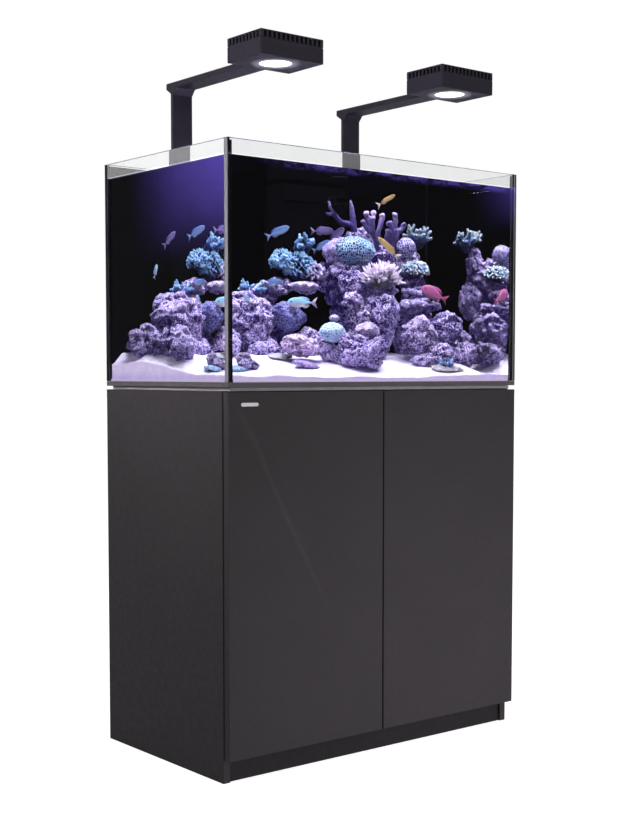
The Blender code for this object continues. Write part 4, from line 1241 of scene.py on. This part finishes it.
def make_corals():
    """Places and half sizes are in millimetres, all other sizes in metres."""
    blue = tipped_finish("coral_blue", lit(34, 36, 98), lit(76, 112, 176), lit(136, 184, 224))
    sky = tipped_finish("coral_sky", lit(66, 72, 124), lit(124, 160, 200), lit(200, 208, 206))
    slate = tipped_finish("coral_slate", lit(42, 46, 96), lit(84, 116, 166), lit(146, 162, 172))
    mauve = tipped_finish("coral_mauve", lit(50, 38, 100), lit(120, 112, 180), lit(196, 180, 220))
    violet = tipped_finish("coral_violet", lit(48, 34, 108), lit(98, 80, 162), lit(158, 140, 200), 0.0012)
    finger = tipped_finish("coral_finger", lit(54, 42, 110), lit(120, 100, 172), lit(188, 164, 210), 0.0014)
    bloom = tipped_finish(
        "coral_bloom", lit(118, 120, 126), lit(182, 178, 190, 0.7), lit(240, 226, 248, 0.85), cup_scale=500.0)
    web = web_finish(
        "coral_web", lit(30, 38, 100), lit(142, 188, 234), lit(184, 218, 246), 132.0, 0.118, 0.0014, 0.7)
    web_small = web_finish(
        "coral_web_small", lit(108, 140, 202), lit(180, 218, 246), lit(210, 236, 252),
        150.0, 0.15, 0.001, 0.7)
    pale = web_finish(
        "coral_pale", lit(96, 74, 136), lit(176, 158, 204), lit(204, 190, 222), 190.0, 0.20, 0.001)
    dusk = web_finish("coral_dusk", lit(50, 42, 112), lit(108, 106, 184), lit(140, 144, 206), 160.0, 0.13)
    orchid = web_finish(
        "coral_orchid", lit(70, 58, 134), lit(166, 156, 218), lit(202, 194, 238), 150.0, 0.13, uneven=0.6)
    brain = meander_finish("coral_brain", lit(116, 96, 136, 0.7), lit(186, 168, 196, 0.8), 62.0)
    leaf = meander_finish("coral_leaf", lit(84, 70, 116, 0.8), lit(150, 132, 180, 0.8), 60.0)
    stone = meander_finish("coral_stone", lit(138, 136, 144), lit(166, 164, 172), 50.0, 30.0)
    ice = meander_finish("coral_ice", lit(120, 160, 204), lit(168, 204, 236), 60.0)

    knobby_coral("coral_cauliflower_left", (344, 385, 291), (32, 34, 27), 330, 0.0034, blue, 3, 0.0013)
    knobby_coral("coral_cauliflower_middle", (388, 374, 277), (43, 38, 40), 480, 0.0034, blue, 4, 0.0013)
    knobby_coral("coral_cauliflower_skirt", (422, 364, 264), (38, 34, 27), 300, 0.0034, mauve, 6, 0.0013)
    stout = {"taper": 0.85, "voxel": 0.0016}
    branch_coral("coral_branch_crown", (404, 376, 318), 8, 0.024, 0.0062, 2, blue, 8, 1.2, **stout)
    branch_coral("coral_branch_left", (252, 385, 204), 8, 0.024, 0.0044, 2, blue, 11, 1.3, **stout)
    ball_coral("coral_shelf", (385, 336, 232), (42, 28, 12), pale, ripple=0.10)
    ball_coral("coral_head_left", (331, 328, 156), (47, 41, 36), dusk, (0, 0.25, 0), 0.20)
    ball_coral("coral_plate_left", (312, 372, 226), (38, 28, 12), pale, (0, 0.3, 0), 0.15, 0.12)
    ball_coral("coral_head_big", (537, 320, 323), (62, 50, 39), web, rough=0.07)
    stems_coral("coral_antler", violet, 0.0018, 0.0014, 1.6, 0, ANTLER)
    stems_coral("coral_fingers", finger, 0.0017, 0.0014, 2.2, 3, FINGERS)
    ball_coral("coral_head_top", (713, 332, 342), (30, 27, 28), orchid, rough=0.10)
    branch_coral(
        "coral_branch_right", (800, 405, 358), 10, 0.030, 0.0062, 2, slate, 31, 1.0, 0.8, 0.88, 0.0018)
    clumps = ((566, 256, 246), (32, 30, 26)), ((588, 244, 254), (34, 32, 30)), ((611, 258, 246), (32, 30, 26))
    tuft_coral("coral_bloom_middle", clumps, 130, 0.035, bloom, 41)
    knobby_coral("coral_cauliflower_right", (737, 318, 286), (45, 36, 22), 420, 0.0026, sky, 51, 0.0012)
    ball_coral("coral_head_low", (403, 205, 117), (36, 31, 25), web_small)
    ball_coral("coral_bud", (420, 225, 153), (14, 12, 9), pale)
    ball_coral("coral_head_pale", (494, 170, 122), (33, 30, 21), pale, (0, 0, 0), 0.2)
    ball_coral("coral_brain_flat", (308, 210, 84), (56, 40, 26), brain, (0, 0.16, 0.1), 0.2)
    ball_coral("coral_oval", on_sand(262, 236, 6), (34, 26, 6), stone, (0.22, 0, 0), ripple=0.05)
    ball_coral("coral_leaf", on_sand(293, 150, 6), (38, 20, 9), leaf, (0.2, 0.15, 0.1), 0.12, 0.16)
    ball_coral("coral_disc", on_sand(730, 120, 4), (48, 40, 7), stone, (0.20, 0, 0), ripple=0.06)
    branch_coral("coral_star", on_sand(727, 116, 10), 8, 0.020, 0.0042, 1, blue, 61, 1.6)
    ball_coral("coral_ice_disc", on_sand(78, 120, 4), (28, 26, 7), ice, (0.15, 0, 0), ripple=0.08)


def make_fish():
    blue = fish_finish(
        "fish_blue", lit(54, 88, 160), lit(104, 150, 204), lit(170, 196, 226), lit(120, 128, 180))
    violet = fish_finish(
        "fish_violet", lit(84, 70, 140), lit(132, 112, 180), lit(176, 150, 200), lit(150, 130, 190))
    gold = fish_finish(
        "fish_gold", lit(168, 132, 70), lit(204, 166, 92), lit(226, 208, 164), lit(232, 226, 218), 0.7)
    rose = fish_finish(
        "fish_rose", lit(164, 76, 132), lit(190, 98, 152), lit(200, 118, 166), lit(190, 84, 116),
        0.3, lit(240, 210, 225))
    pearl = fish_finish(
        "fish_pearl", lit(110, 170, 214), lit(160, 204, 230), lit(246, 246, 250), lit(214, 196, 226))
    school = (
        ((327, 378, 363), 0.068, 1, 24, blue, 0.27), ((464, 378, 374), 0.064, 1, 3, violet, 0.30),
        ((503, 372, 364), 0.064, 1, 40, violet, 0.30), ((458, 372, 336), 0.056, 1, 30, blue, 0.27),
        ((347, 275, 190), 0.080, -1, 0, pearl, 0.30), ((173, 250, 193), 0.026, -1, 50, pearl, 0.40),
        ((295, 350, 238), 0.056, 1, 8, blue, 0.29), ((627, 300, 457), 0.060, 1, 30, gold, 0.19),
        ((599, 235, 333), 0.080, -1, 39, gold, 0.20), ((765, 251, 224), 0.084, -1, 22, rose, 0.40),
        ((120, 325, 335), 0.056, 1, 38, violet, 0.27), ((150, 411, 265), 0.036, 1, 72, pearl, 0.34),
    )
    near_surface = 400
    for number, (place, *rest) in enumerate(school, 1):
        made = fish(f"fish_{number}", place, *rest)
        made.visible_glossy = place[2] < near_surface


make_camera()
make_floor()
make_world()
make_lights()
finish_cad()
round_edges()
make_heat_sinks()
make_water()
make_sand()
make_rocks()
make_corals()
make_fish()

bpy.context.scene.view_settings.view_transform = "Standard"
